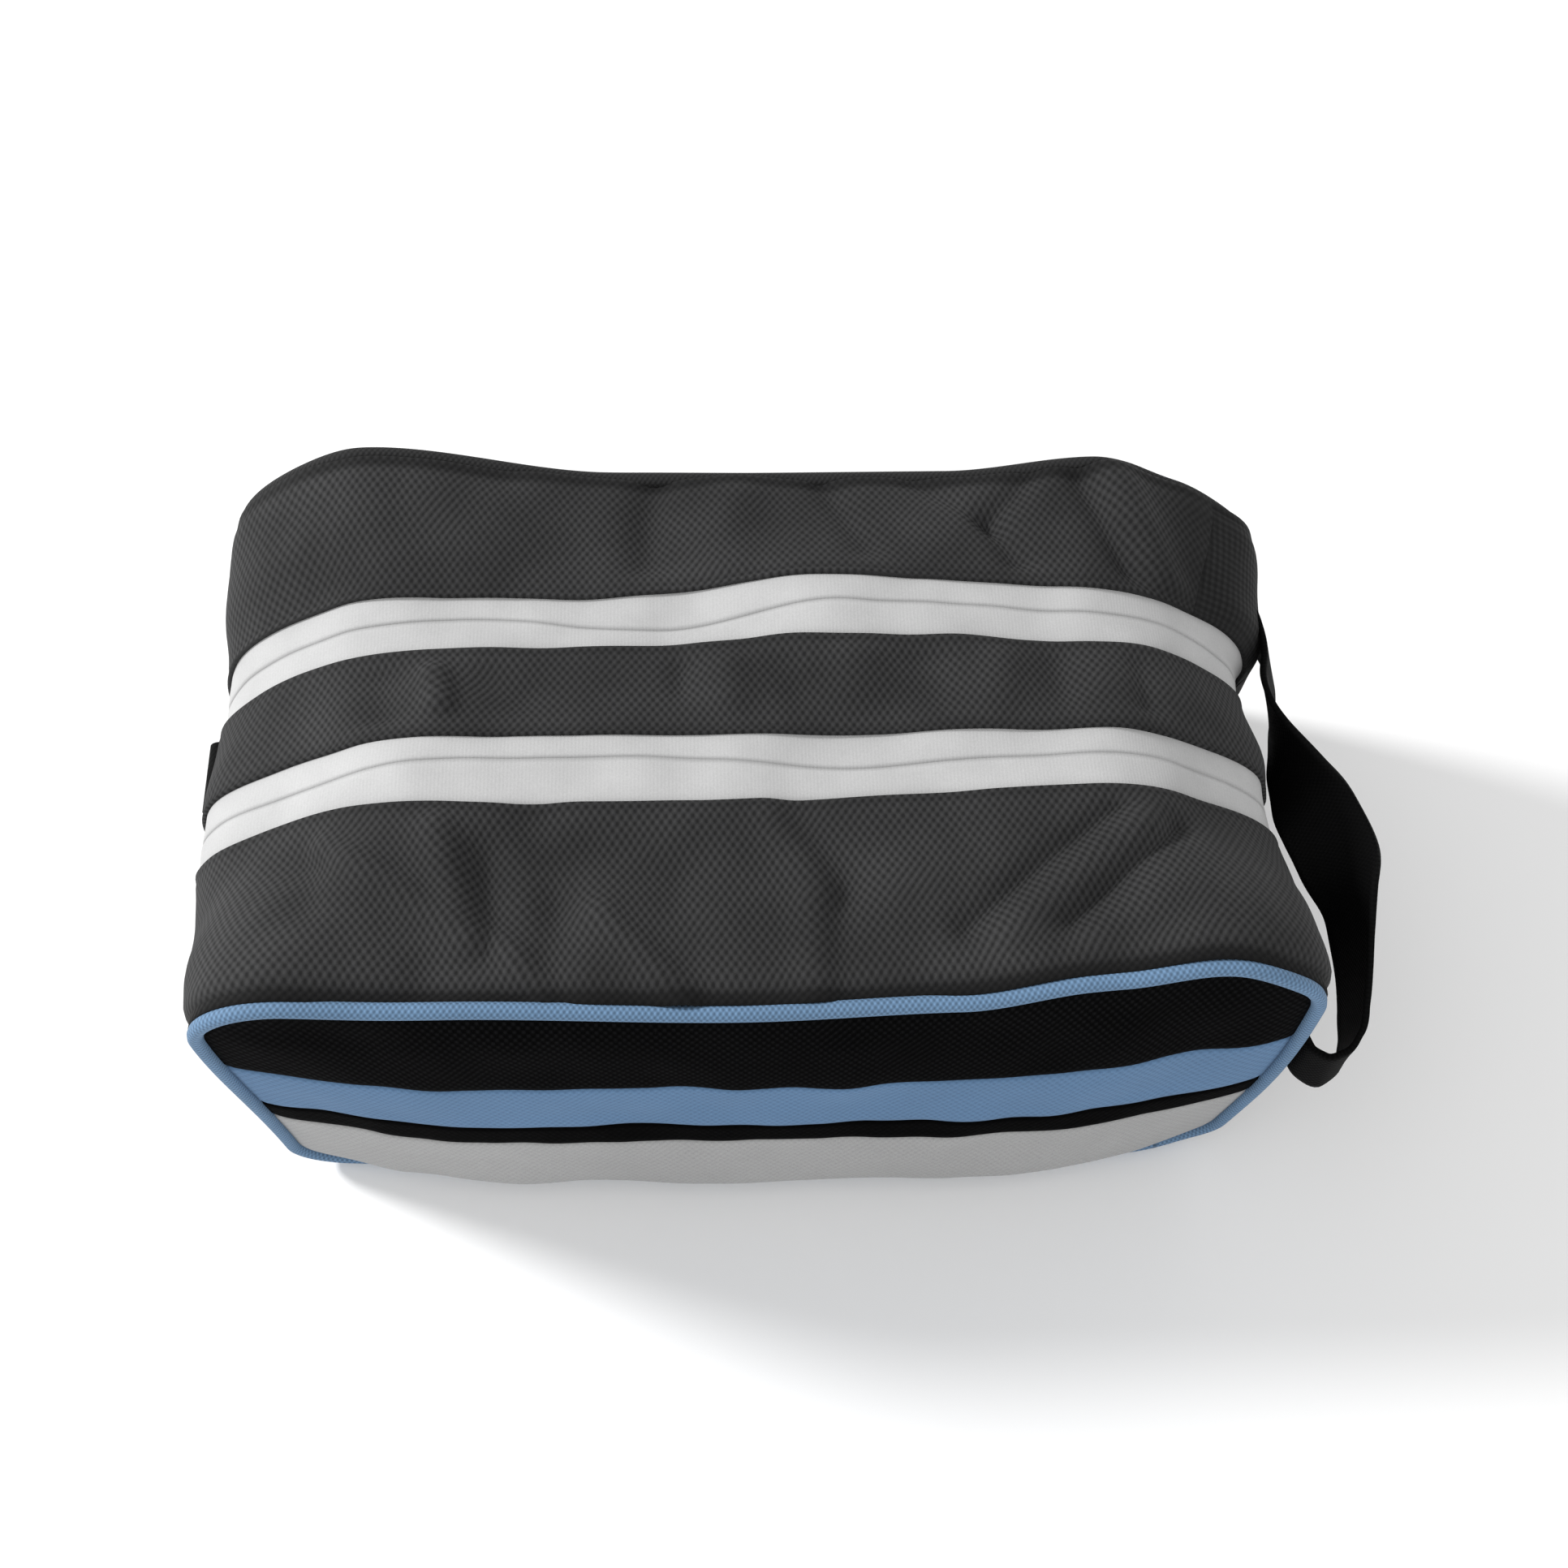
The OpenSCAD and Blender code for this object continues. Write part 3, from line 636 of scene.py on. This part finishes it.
def end_panel(side):
    """End wall below the strips, notched where the two zips run down into it."""
    t = np.concatenate([np.linspace(END_SEAM_T, ZIP_TIP_T, 4), steps(ZIP_TIP_T, 1.0, 0.0095)[1:]])
    stops = [-GUSSET_Y - 0.8 * MM, front_zip.front, front_zip.back, rear_zip.front, rear_zip.back,
             GUSSET_Y + 0.8 * MM]
    counts = [30, 9, 14, 9, 20]
    y = [np.linspace(a, b, n, endpoint=False) for a, b, n in zip(stops, stops[1:], counts)]
    y = np.append(np.concatenate(y), stops[-1])
    rows = len(y)
    line = lambda x, q: y[np.rint(q * (rows - 1)).astype(int)]
    points, cloth = arch_patch(side * t, line, rows,
                               seams=[(constant(stops[0] + 3 * MM), FRONT_GROOVE, GROOVE_W),
                                      (constant(stops[-1] - 3 * MM), BACK_GROOVE, GROOVE_W)])

    def keep(i, j):
        mid = (y[j] + y[j + 1]) / 2
        in_zip = stops[1] < mid < stops[2] or stops[3] < mid < stops[4]
        return not (in_zip and i < 3)

    name = "left" if side < 0 else "right"
    piece = grid_object(name + "_end_cloth", points, cloth, [end_cloth, lining_cloth],
                        flip=side > 0, keep=keep)
    thicken(piece, SHELL_T)
    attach(piece, "shell")
    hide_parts(name + "_end_panel")
    return piece


def base_points(u, y, inset=0.0):
    """Points and outward normals of the base: u runs from the left wall's foot to the right's."""
    flat = HALF_W - BASE_R
    arc = BASE_R * math.pi / 2
    a = np.abs(u) * (flat + arc)
    turn = np.clip((a - flat) / BASE_R, 0, math.pi / 2)
    side = np.where(u < 0, -1.0, 1.0)
    r = BASE_R - inset
    x = np.minimum(a, flat) + r * np.sin(turn)
    z = BASE_R - r * np.cos(turn)
    p = np.stack([side * x, y, z], -1)
    n = np.stack([side * np.sin(turn), np.zeros_like(x), -np.cos(turn)], -1)
    return p, n, side * a


def base_cloth():
    u = steps(-1, 1, 0.016)
    y = steps(-GUSSET_Y - 0.8 * MM, GUSSET_Y + 0.8 * MM, 4 * MM)
    uu, yy = np.meshgrid(u, y, indexing="ij")
    p, n, s = base_points(uu, yy)
    h = rumple(p) * smooth(p[..., 2] / BASE_R)
    out = drape(p) + n * h[..., None]
    piece = grid_object("base_cloth", out, np.stack([s, yy], -1), [body_cloth, lining_cloth],
                        flip=True)
    thicken(piece, SHELL_T)
    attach(piece, "shell")
    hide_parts("base_panel")
    return piece


# ---------------------------------------------------------------- panels and piping
def half_width(z, top_r, inset):
    """Half width of a panel at height z, inside its outline."""
    top = TOP_Z - inset
    tr, br = top_r - inset, BASE_R - inset
    up = np.clip(z - (top - tr), 0, tr)
    down = np.clip(inset + br - z, 0, br)
    cut = (tr - np.sqrt(np.maximum(tr * tr - up * up, 0)))
    cut = cut + (br - np.sqrt(np.maximum(br * br - down * down, 0)))
    return HALF_W - inset - cut


def swell(q):
    return np.sin(np.clip(q, 0, 1) * math.pi / 2) ** 0.75


def panel_grid(z0, z1, sign, top_r, bulge, inset=0.0, grooves=(), columns=140):
    """Rows at constant height on a swollen panel; sign is the side it faces, -1 front, 1 back."""
    z = steps(z0, z1, 2.4 * MM)
    u = np.linspace(-1, 1, columns)
    zz, uu = np.meshgrid(z, u, indexing="ij")
    w = half_width(zz, top_r, PANEL_INSET + inset)
    x = uu * w
    low, high = PANEL_INSET, TOP_Z - PANEL_INSET
    rise = bulge * swell((w - np.abs(x)) / (85 * MM)) * swell((high - zz) / (74 * MM))
    rise = rise * swell((zz - low) / (13 * MM))
    flat = np.stack([x, np.full_like(x, sign * SEAM_Y), zz], -1)
    fade = smooth((w - np.abs(x)) / (22 * MM)) * smooth((high - zz) / (22 * MM))
    fade = fade * smooth((zz - low) / (16 * MM))
    ripple = rumple(flat * np.array([1, 1, 0.7])) * fade
    for level in grooves:
        ripple = ripple + pinch(np.abs(zz - level), 0.45 * MM, 0.9 * MM)
    flat[..., 1] = sign * (SEAM_Y + rise + ripple - inset)
    return drape(flat), np.stack([x, zz], -1)


def panel_piece(name, node, z0, z1, sign, top_r, bulge, cloth, grooves=()):
    points, coords = panel_grid(z0, z1, sign, top_r, bulge, grooves=grooves)
    piece = grid_object(name, points, coords, [cloth, lining_cloth], flip=sign < 0)
    thicken(piece, SHELL_T, 1, 1)
    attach(piece, "shell")
    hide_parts(node)
    return piece


def outline(top_r, inset, count):
    """Closed seam outline of a panel as evenly spaced (x, z) points."""
    half, tr, br = HALF_W - inset, top_r - inset, BASE_R - inset
    low, high = inset, TOP_Z - inset
    corners = [(half - br, low + br, br, -90), (half - tr, high - tr, tr, 0),
               (-half + tr, high - tr, tr, 90), (-half + br, low + br, br, 180)]
    raw = []
    for cx, cz, r, a0 in corners:
        for a in np.linspace(a0, a0 + 90, 24):
            raw.append((cx + r * math.cos(math.radians(a)), cz + r * math.sin(math.radians(a))))
    raw = np.array(raw + raw[:1])
    along = np.concatenate([[0], np.cumsum(np.linalg.norm(np.diff(raw, axis=0), axis=1))])
    at = np.linspace(0, along[-1], count, endpoint=False)
    return np.stack([np.interp(at, along, raw[:, k]) for k in (0, 1)], -1)


def tube(name, centre, radius, material, closed, sides=12, squash=1.0, lean=None):
    """Round or flattened tube along a line; cloth is (length along, length round)."""
    centre = np.asarray(centre, float)
    if closed:
        ahead = np.roll(centre, -1, 0) - np.roll(centre, 1, 0)
    else:
        ahead = np.gradient(centre, axis=0)
    ahead /= np.linalg.norm(ahead, axis=1)[:, None]
    lean = np.array([0.0, 1.0, 0.0]) if lean is None else np.array(lean, float)
    u = lean - ahead * (ahead @ lean)[:, None]
    u /= np.linalg.norm(u, axis=1)[:, None]
    v = np.cross(ahead, u)
    angle = np.linspace(0, math.tau, sides, endpoint=False)[None, :, None]
    ring = centre[:, None] + radius * (np.cos(angle) * u[:, None] * squash
                                       + np.sin(angle) * v[:, None])
    step = np.linalg.norm(np.diff(centre, axis=0, append=centre[:1]), axis=1)
    s = np.concatenate([[0], np.cumsum(step)[:-1]])
    cloth = np.stack(np.broadcast_arrays(s[:, None], np.linspace(0, math.tau * radius, sides)), -1)
    faces = grid_faces(len(centre), sides, wrap_v=True)
    if closed:
        last = (len(centre) - 1) * sides
        faces += [(last + j, j, (j + 1) % sides, last + (j + 1) % sides) for j in range(sides)]
    else:
        faces.append(tuple(range(sides)))
        faces.append(tuple(reversed(range(len(ring.reshape(-1, 3)) - sides, len(centre) * sides))))
    return mesh_object(name, ring.reshape(-1, 3), faces, cloth, [material])


def piping(name, node, sign, top_r, material):
    line = outline(top_r, PIPING_INSET, 620)
    centre = np.stack([line[:, 0], np.full(len(line), sign * SEAM_Y), line[:, 1]], -1)
    piece = tube(name, drape(centre), PIPING_R * 1.08, material, True, squash=1.1)
    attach(piece, "shell")
    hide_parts(node)


# ---------------------------------------------------------------- stitches
def stitch_row(name, line, material, pitch=3.1 * MM, length=2.2 * MM, radius=0.32 * MM):
    """Row of short raised thread segments along a line on the cloth."""
    line = np.asarray(line, float)
    along = np.concatenate([[0], np.cumsum(np.linalg.norm(np.diff(line, axis=0), axis=1))])
    verts, faces, coords = [], [], []
    rings = [(-0.5, 0.25), (-0.36, 0.9), (0.36, 0.9), (0.5, 0.25)]
    for k in range(int((along[-1] - pitch) / pitch)):
        mid = (k + 0.5) * pitch
        ends = [np.array([np.interp(mid + d * length, along, line[:, i]) for i in range(3)])
                for d in (-0.5, 0.5)]
        axis = ends[1] - ends[0]
        axis /= np.linalg.norm(axis)
        side = np.cross(axis, (0.3, 0.9, 0.31))
        side /= np.linalg.norm(side)
        up = np.cross(side, axis)
        first = len(verts)
        for share, fat in rings:
            at = (ends[0] + ends[1]) / 2 + axis * share * length
            for j in range(5):
                a = math.tau * j / 5
                verts.append(at + radius * fat * (math.cos(a) * side + math.sin(a) * up))
                coords.append((mid + share * length, radius * a))
        for r in range(len(rings) - 1):
            for j in range(5):
                k0, k1 = first + r * 5 + j, first + r * 5 + (j + 1) % 5
                faces.append((k0, k1, k1 + 5, k0 + 5))
        faces.append(tuple(first + j for j in range(4, -1, -1)))
        faces.append(tuple(first + 15 + j for j in range(5)))
    return mesh_object(name, verts, faces, coords, [material])


def zip_stitches(zip_, half, side_sign):
    edge = edge_line(zip_, half)
    y = lambda x: edge(x) + side_sign * 3.0 * MM
    line = arch_patch(TAPE_TS, between(y, y), 2, offset=-0.2 * MM)[0][:, 0]
    piece = stitch_row(f"{zip_.name}_zip_{half}_stitches", line, dark_thread)
    if half == "lip":
        lift_with(piece)
    else:
        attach(piece, "shell")


# ---------------------------------------------------------------- small solids
def solid(name, low, high, material, round_by=0.4 * MM):
    """Rounded block between two corners."""
    mesh = bpy.data.meshes.new(name)
    bm = bmesh.new()
    bmesh.ops.create_cube(bm, size=1)
    size = Vector(high) - Vector(low)
    bmesh.ops.scale(bm, vec=size, verts=bm.verts)
    bmesh.ops.translate(bm, vec=(Vector(high) + Vector(low)) / 2, verts=bm.verts)
    bmesh.ops.bevel(bm, geom=bm.edges[:], offset=round_by, segments=3, affect="EDGES")
    bm.to_mesh(mesh)
    bm.free()
    mesh.materials.append(material)
    mesh.polygons.foreach_set("use_smooth", [True] * len(mesh.polygons))
    obj = bpy.data.objects.new(name, mesh)
    bpy.context.scene.collection.objects.link(obj)
    return obj


def join(name, parts):
    """Several meshes made into one, keeping the first one's material."""
    bm = bmesh.new()
    for part in parts:
        bm.from_mesh(part.data)
    mesh = bpy.data.meshes.new(name)
    bm.to_mesh(mesh)
    bm.free()
    mesh.materials.append(parts[0].data.materials[0])
    mesh.polygons.foreach_set("use_smooth", [True] * len(mesh.polygons))
    for part in parts:
        bpy.data.objects.remove(part)
    obj = bpy.data.objects.new(name, mesh)
    bpy.context.scene.collection.objects.link(obj)
    return obj


def outset(obj, shift):
    obj.data.transform(Matrix.Translation(shift))
    return obj


def slider_pieces(zip_):
    """Zip slider with its arched bridge, and the puller hanging from it."""
    low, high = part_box(zip_.name + "_slider")
    pull_low, pull_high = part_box(zip_.name + "_puller")
    y = (low.y + high.y) / 2
    out = HELD_SWELL * through(RIGHT_SWELL, y) + 0.5 * MM
    z = (low.z + high.z) / 2
    plate_x = high.x - 4.2 * MM
    outline_pts = [(-0.5, -0.32), (-0.42, -0.5), (0.0, -0.5), (0.5, -0.24), (0.5, 0.24),
                   (0.0, 0.5), (-0.42, 0.5), (-0.5, 0.32)]
    mesh = bpy.data.meshes.new("plate")
    bm = bmesh.new()
    ring = [bm.verts.new((plate_x, y + b * 8.4 * MM, z + a * 12.4 * MM)) for a, b in outline_pts]
    face = bm.faces.new(ring)
    made = bmesh.ops.extrude_face_region(bm, geom=[face])
    bmesh.ops.translate(bm, vec=(1.7 * MM, 0, 0),
                        verts=[v for v in made["geom"] if isinstance(v, bmesh.types.BMVert)])
    bmesh.ops.recalc_face_normals(bm, faces=bm.faces[:])
    bmesh.ops.bevel(bm, geom=bm.edges[:], offset=0.5 * MM, segments=3, affect="EDGES")
    bm.to_mesh(mesh)
    bm.free()
    mesh.materials.append(slider_metal)
    plate = bpy.data.objects.new("plate", mesh)
    bpy.context.scene.collection.objects.link(plate)
    a = np.linspace(0, math.pi, 20)
    arch = np.stack([plate_x + 1.2 * MM + 2.9 * MM * np.sin(a), np.full(20, y),
                     z + 4.4 * MM * np.cos(a)], -1)
    bridge = tube("bridge", arch, 0.85 * MM, slider_metal, False, squash=1.6)
    slider = join(zip_.name + "_slider_body", [plate, bridge])
    outset(slider, (out, 0, 0))
    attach(slider, zip_.name + "_slider")
    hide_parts(zip_.name + "_slider")
    top = z + 1.2 * MM
    half = (pull_high.y - pull_low.y) / 2
    x = (pull_low.x + pull_high.x) / 2
    a = np.linspace(0, math.tau, 30, endpoint=False)
    eye = np.stack([np.full(30, x), y + half * 0.78 * np.sin(a), top - 2.6 * MM + 3.0 * MM * np.cos(a)],
                   -1)
    eye = tube("eye", eye, 0.7 * MM, slider_metal, True, lean=(1, 0, 0))
    tail_ring = np.stack([np.full(30, x), y + 0.8 * half * np.sin(a),
                          pull_low.z + 3.0 * MM + 2.6 * MM * np.cos(a)], -1)
    tail = tube("tail", tail_ring, 0.75 * MM, slider_metal, True, lean=(1, 0, 0))
    shank = solid("shank", (x - 0.8 * MM, y - half * 0.62, pull_low.z + 5.2 * MM),
                  (x + 0.8 * MM, y + half * 0.62, top - 4.6 * MM), slider_metal)
    puller = join(zip_.name + "_puller_tag", [eye, shank, tail])
    outset(puller, (out, 0, 0))
    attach(puller, zip_.name + "_puller")
    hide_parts(zip_.name + "_puller")


def stops(zip_):
    """Small moulded blocks that end the zip's coils."""
    parts = []
    for side in (-1, 1):
        y = slit_line(zip_)
        at = arch_patch([side * (ZIP_TIP_T - 0.012)], between(y, y), 2)[0][0, 0]
        parts.append(solid("stop", (at[0] - 1.2 * MM, at[1] - 2.6 * MM, at[2] - 1.6 * MM),
                           (at[0] + 0.9 * MM, at[1] + 2.6 * MM, at[2] + 1.6 * MM), coil_plastic))
    piece = join(zip_.name + "_zip_stop_blocks", parts)
    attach(piece, "shell")
    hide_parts(zip_.name + "_zip_stops")


# ---------------------------------------------------------------- handle and tab
def spline(keys, count):
    """Smooth line through rows of values (Catmull-Rom), evenly sampled in parameter."""
    keys = np.asarray(keys, float)
    gap = np.linalg.norm(np.diff(keys[:, :3], axis=0), axis=1)
    knots = np.concatenate([[0], np.cumsum(gap)])
    at = np.linspace(0, knots[-1], count)
    out = np.zeros((count, keys.shape[1]))
    for c in range(keys.shape[1]):
        slope = np.gradient(keys[:, c], knots)
        i = np.clip(np.searchsorted(knots, at) - 1, 0, len(knots) - 2)
        h = knots[i + 1] - knots[i]
        s = (at - knots[i]) / h
        out[:, c] = ((2 * s ** 3 - 3 * s ** 2 + 1) * keys[i, c] + (s ** 3 - 2 * s ** 2 + s) * h * slope[i]
                     + (3 * s ** 2 - 2 * s ** 3) * keys[i + 1, c] + (s ** 3 - s ** 2) * h * slope[i + 1])
    return out, at


# The strap's centre line: x, y, z, how far its width leans from upright in degrees, and width
STRAP = [(172, 88, 107, 10, 29), (181, 82, 107, 10, 29), (188, 73, 106, 12, 29),
         (192.5, 62, 105, 16, 29), (194, 50, 104.5, 20, 29), (192.5, 39, 104, 22, 29),
         (192, 30, 104, 16, 29), (193, 21, 104, 6, 29), (194.5, 12, 104, -8, 30),
         (197.5, 2, 104, -24, 30), (202.3, -12, 103.5, -56, 30), (207, -29, 103, -50, 30),
         (208.5, -44, 102, -20, 29), (208, -57, 100, -10, 29), (207, -70, 98, -5, 28),
         (205.5, -82, 95, -2, 28), (203.5, -92, 92, 0, 27), (199, -99.5, 90, 4, 26),
         (193, -102, 89, 4, 25), (187.5, -98.5, 88, 0, 25), (184.5, -92, 88, 0, 25),
         (178, -86, 88, 0, 25)]


def handle():
    keys = [(k[0] * MM, k[1] * MM, k[2] * MM, k[3], k[4] * MM) for k in STRAP]
    route, along = spline(keys, 230)
    centre, lean, width = route[:, :3], np.radians(route[:, 3]), route[:, 4]
    ahead = np.gradient(centre, axis=0)
    ahead /= np.linalg.norm(ahead, axis=1)[:, None]
    up = np.array([0.0, 0.0, 1.0]) - ahead * ahead[:, 2:3]
    up /= np.linalg.norm(up, axis=1)[:, None]
    out = np.cross(ahead, up)
    across = np.cos(lean)[:, None] * up + np.sin(lean)[:, None] * out
    v = np.linspace(-0.5, 0.5, 15)
    face = np.cross(across, ahead)
    points = centre[:, None] + (width[:, None] * v)[..., None] * across[:, None]
    edge = smooth((0.5 - np.abs(v)) / 0.08) * 0.3 * MM
    points = points + face[:, None] * (edge - 0.3 * MM)[None, :, None]
    cloth = np.stack(np.broadcast_arrays(along[:, None], v[None, :] * 28 * MM), -1)
    piece = grid_object("handle_strap", points, cloth, [strap_webbing])
    thicken(piece, 2.1 * MM, offset=0)
    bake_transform(piece)
    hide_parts("handle_webbing", "handle_rear_end", "handle_front_end")


def left_loop():
    """Folded webbing loop sewn into the left end."""
    low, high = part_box("left_tab")
    mid_y, mid_z = (low.y + high.y) / 2, (low.z + high.z) / 2
    root = -HALF_W - through(LEFT_SWELL, mid_y) + 9 * MM
    reach, r = 10 * MM, 2.6 * MM
    line = [(0, r * 0.7)] + [(reach * k, r) for k in (0.3, 0.6)]
    line += [(reach - r + r * math.cos(a), r * math.sin(a))
             for a in np.linspace(math.pi / 2, -math.pi / 2, 10)]
    line += [(reach * k, -r) for k in (0.6, 0.3)] + [(0, -r * 0.7)]
    line = np.array(line)
    y = mid_y + np.linspace(low.y - high.y, high.y - low.y, 14) / 2
    dx, dz = line[:, 0][:, None], line[:, 1][:, None]
    points = np.stack(np.broadcast_arrays(root - dx, y[None, :], mid_z + dz - 0.1 * dx), -1)
    along = np.concatenate([[0], np.cumsum(np.linalg.norm(np.diff(line, axis=0), axis=1))])
    cloth = np.stack(np.broadcast_arrays(along[:, None], y[None, :]), -1)
    piece = grid_object("left_loop", points, cloth, [strap_webbing])
    thicken(piece, 1.6 * MM)
    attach(piece, "shell")
    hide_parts("left_tab")


# ---------------------------------------------------------------- inside
def lining(name, node, sign, top_r, bulge):
    """Soft basket that lines one compartment: outer wall, floor and the divider's side."""
    low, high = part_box(node)
    inner = high.y if sign < 0 else low.y
    wall, _ = panel_grid(low.z + 8 * MM, high.z, sign, top_r, bulge, 7 * MM, columns=90)
    depths = steps(abs(inner), SEAM_Y - 7 * MM, 5 * MM) * sign
    x_edge = wall[0, :, 0]
    floor = np.stack(np.broadcast_arrays(x_edge[None, :], depths[1:-1, None],
                                         np.full((1, 1), low.z + 1.2 * MM)), -1)
    z_in = steps(low.z + 2 * MM, high.z, 4 * MM)
    back = np.stack(np.broadcast_arrays(x_edge[None, :], np.full((1, 1), inner + sign * 0.5 * MM),
                                        z_in[:, None]), -1)
    sheet = np.concatenate([back[::-1], floor, wall], 0)
    s = np.arange(len(sheet))[:, None] * 4 * MM
    cloth = np.stack(np.broadcast_arrays(sheet[..., 0], s), -1)
    piece = grid_object(name, sheet, cloth, [lining_cloth], flip=sign > 0)
    thicken(piece, 0.7 * MM, offset=0)
    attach(piece, "shell")
    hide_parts(node)
    return piece


def divider_pad():
    low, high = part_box("divider")
    z = steps(low.z, high.z - 1.5 * MM, 4 * MM)
    u = np.linspace(-1, 1, 70)
    zz, uu = np.meshgrid(z, u, indexing="ij")
    w = half_width(zz, SHOULDER_R, 3.2 * MM)
    mid = (low.y + high.y) / 2
    crisp = np.stack([uu * w, np.full_like(zz, mid), zz], -1)
    soft = drape(crisp)
    soft[..., 1] += np.minimum((1 - np.abs(uu)) * 60, 1) * 0.3 * MM
    piece = grid_object("divider_pad", soft, np.stack([uu * w, zz], -1), [divider_cloth])
    thicken(piece, 1.9 * MM, offset=0)
    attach(piece, "shell")
    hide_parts("divider")


def board():
    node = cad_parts["base_board"]
    node.data.materials.clear()
    node.data.materials.append(board_plastic)


# ---------------------------------------------------------------- the bag
top_strip(front_zip, -1)
top_strip(rear_zip, 1)
centre_band()
for zip_, lip_sign, lip in ((front_zip, -1, "front_lip"), (rear_zip, 1, "rear_lip")):
    for half, side_sign in (("lip", lip_sign), ("centre", -lip_sign)):
        tape(zip_, half, side_sign)
        coil(zip_, half, side_sign)
        zip_stitches(zip_, half, side_sign)
    slider_pieces(zip_)
    stops(zip_)
end_panel(-1)
end_panel(1)
base_cloth()
lowest = PANEL_INSET + 0.2 * MM
highest = TOP_Z - PANEL_INSET - 0.2 * MM
grey_top = BANDS["front_grey_band"][1]
blue_low, blue_high = BANDS["front_blue_band"]
FRONT_BULGE, BACK_BULGE = 11.5 * MM, 6 * MM
for name, node, z0, z1, cloth, slot_name in (
        ("grey_band_cloth", "front_grey_band", lowest, grey_top, grey_cloth, "grey_band"),
        ("black_band_cloth", "front_black_band", grey_top, blue_low, black_band_cloth, "black_field"),
        ("blue_band_cloth", "front_blue_band", blue_low, blue_high, blue_cloth, "blue_band"),
        ("top_field_cloth", "front_top_field", blue_high, highest, black_cloth, "black_field")):
    panel_piece(name, node, z0, z1, -1, FRONT_R, FRONT_BULGE, cloth, grooves=(z0, z1))
panel_piece("back_panel_cloth", "back_panel", lowest, highest, 1, BACK_R, BACK_BULGE, body_cloth)
piping("front_piping_cord", "front_piping", -1, FRONT_R, blue_cord)
piping("back_piping_cord", "back_piping", 1, BACK_R, body_cord)
lining("front_lining_cloth", "front_lining", -1, FRONT_R, FRONT_BULGE)
lining("rear_lining_cloth", "rear_lining", 1, BACK_R, BACK_BULGE)
divider_pad()
board()
handle()
left_loop()

# ---------------------------------------------------------------- floor, lights and camera
floor_mesh = bpy.data.meshes.new("floor")
floor_mesh.from_pydata([(-4, -4, 0), (4, -4, 0), (4, 4, 0), (-4, 4, 0)], [], [(0, 1, 2, 3)])
floor = bpy.data.objects.new("floor", floor_mesh)
floor.location.z = -0.0006
bpy.context.scene.collection.objects.link(floor)
g = Graph("pale_floor")
g.shader.inputs["Base Color"].default_value = (0.97, 0.97, 0.97, 1)
g.shader.inputs["Roughness"].default_value = 0.9
floor_mesh.materials.append(g.material)


def area_light(name, at, aim, size, power):
    light = bpy.data.lights.new(name, "AREA")
    light.shape = "DISK"
    light.size = size
    light.energy = power
    obj = bpy.data.objects.new(name, light)
    obj.location = at
    obj.rotation_euler = (Vector(aim) - Vector(at)).to_track_quat("-Z", "Y").to_euler()
    bpy.context.scene.collection.objects.link(obj)


area_light("key", (-2.3, 0.8, 1.7), (0, 0, 0.1), 0.5, 74)
area_light("fill", (0.3, -1.2, 0.9), (0, 0, 0.08), 1.0, 3)

world = bpy.data.worlds.new("soft_world")
world.use_nodes = True
world.node_tree.nodes["Background"].inputs[0].default_value = (1, 1, 1, 1)
world.node_tree.nodes["Background"].inputs[1].default_value = 0.74
bpy.context.scene.world = world
bpy.context.scene.view_settings.view_transform = "Standard"

camera = bpy.data.cameras.new("camera")
camera.lens = 41.454
camera.sensor_width = 36
camera.dof.use_dof = False
eye = bpy.data.objects.new("camera", camera)
forward = Vector((0.0425, 0.4582, -0.8878)).normalized()
right = forward.cross(Vector((0.0176, 0.8881, 0.4592))).normalized()
upward = right.cross(forward).normalized()
eye.matrix_world = Matrix((
    (right.x, upward.x, -forward.x, -0.0170),
    (right.y, upward.y, -forward.y, -0.2925),
    (right.z, upward.z, -forward.z, 0.6804),
    (0, 0, 0, 1)))
bpy.context.scene.collection.objects.link(eye)
bpy.context.scene.camera = eye
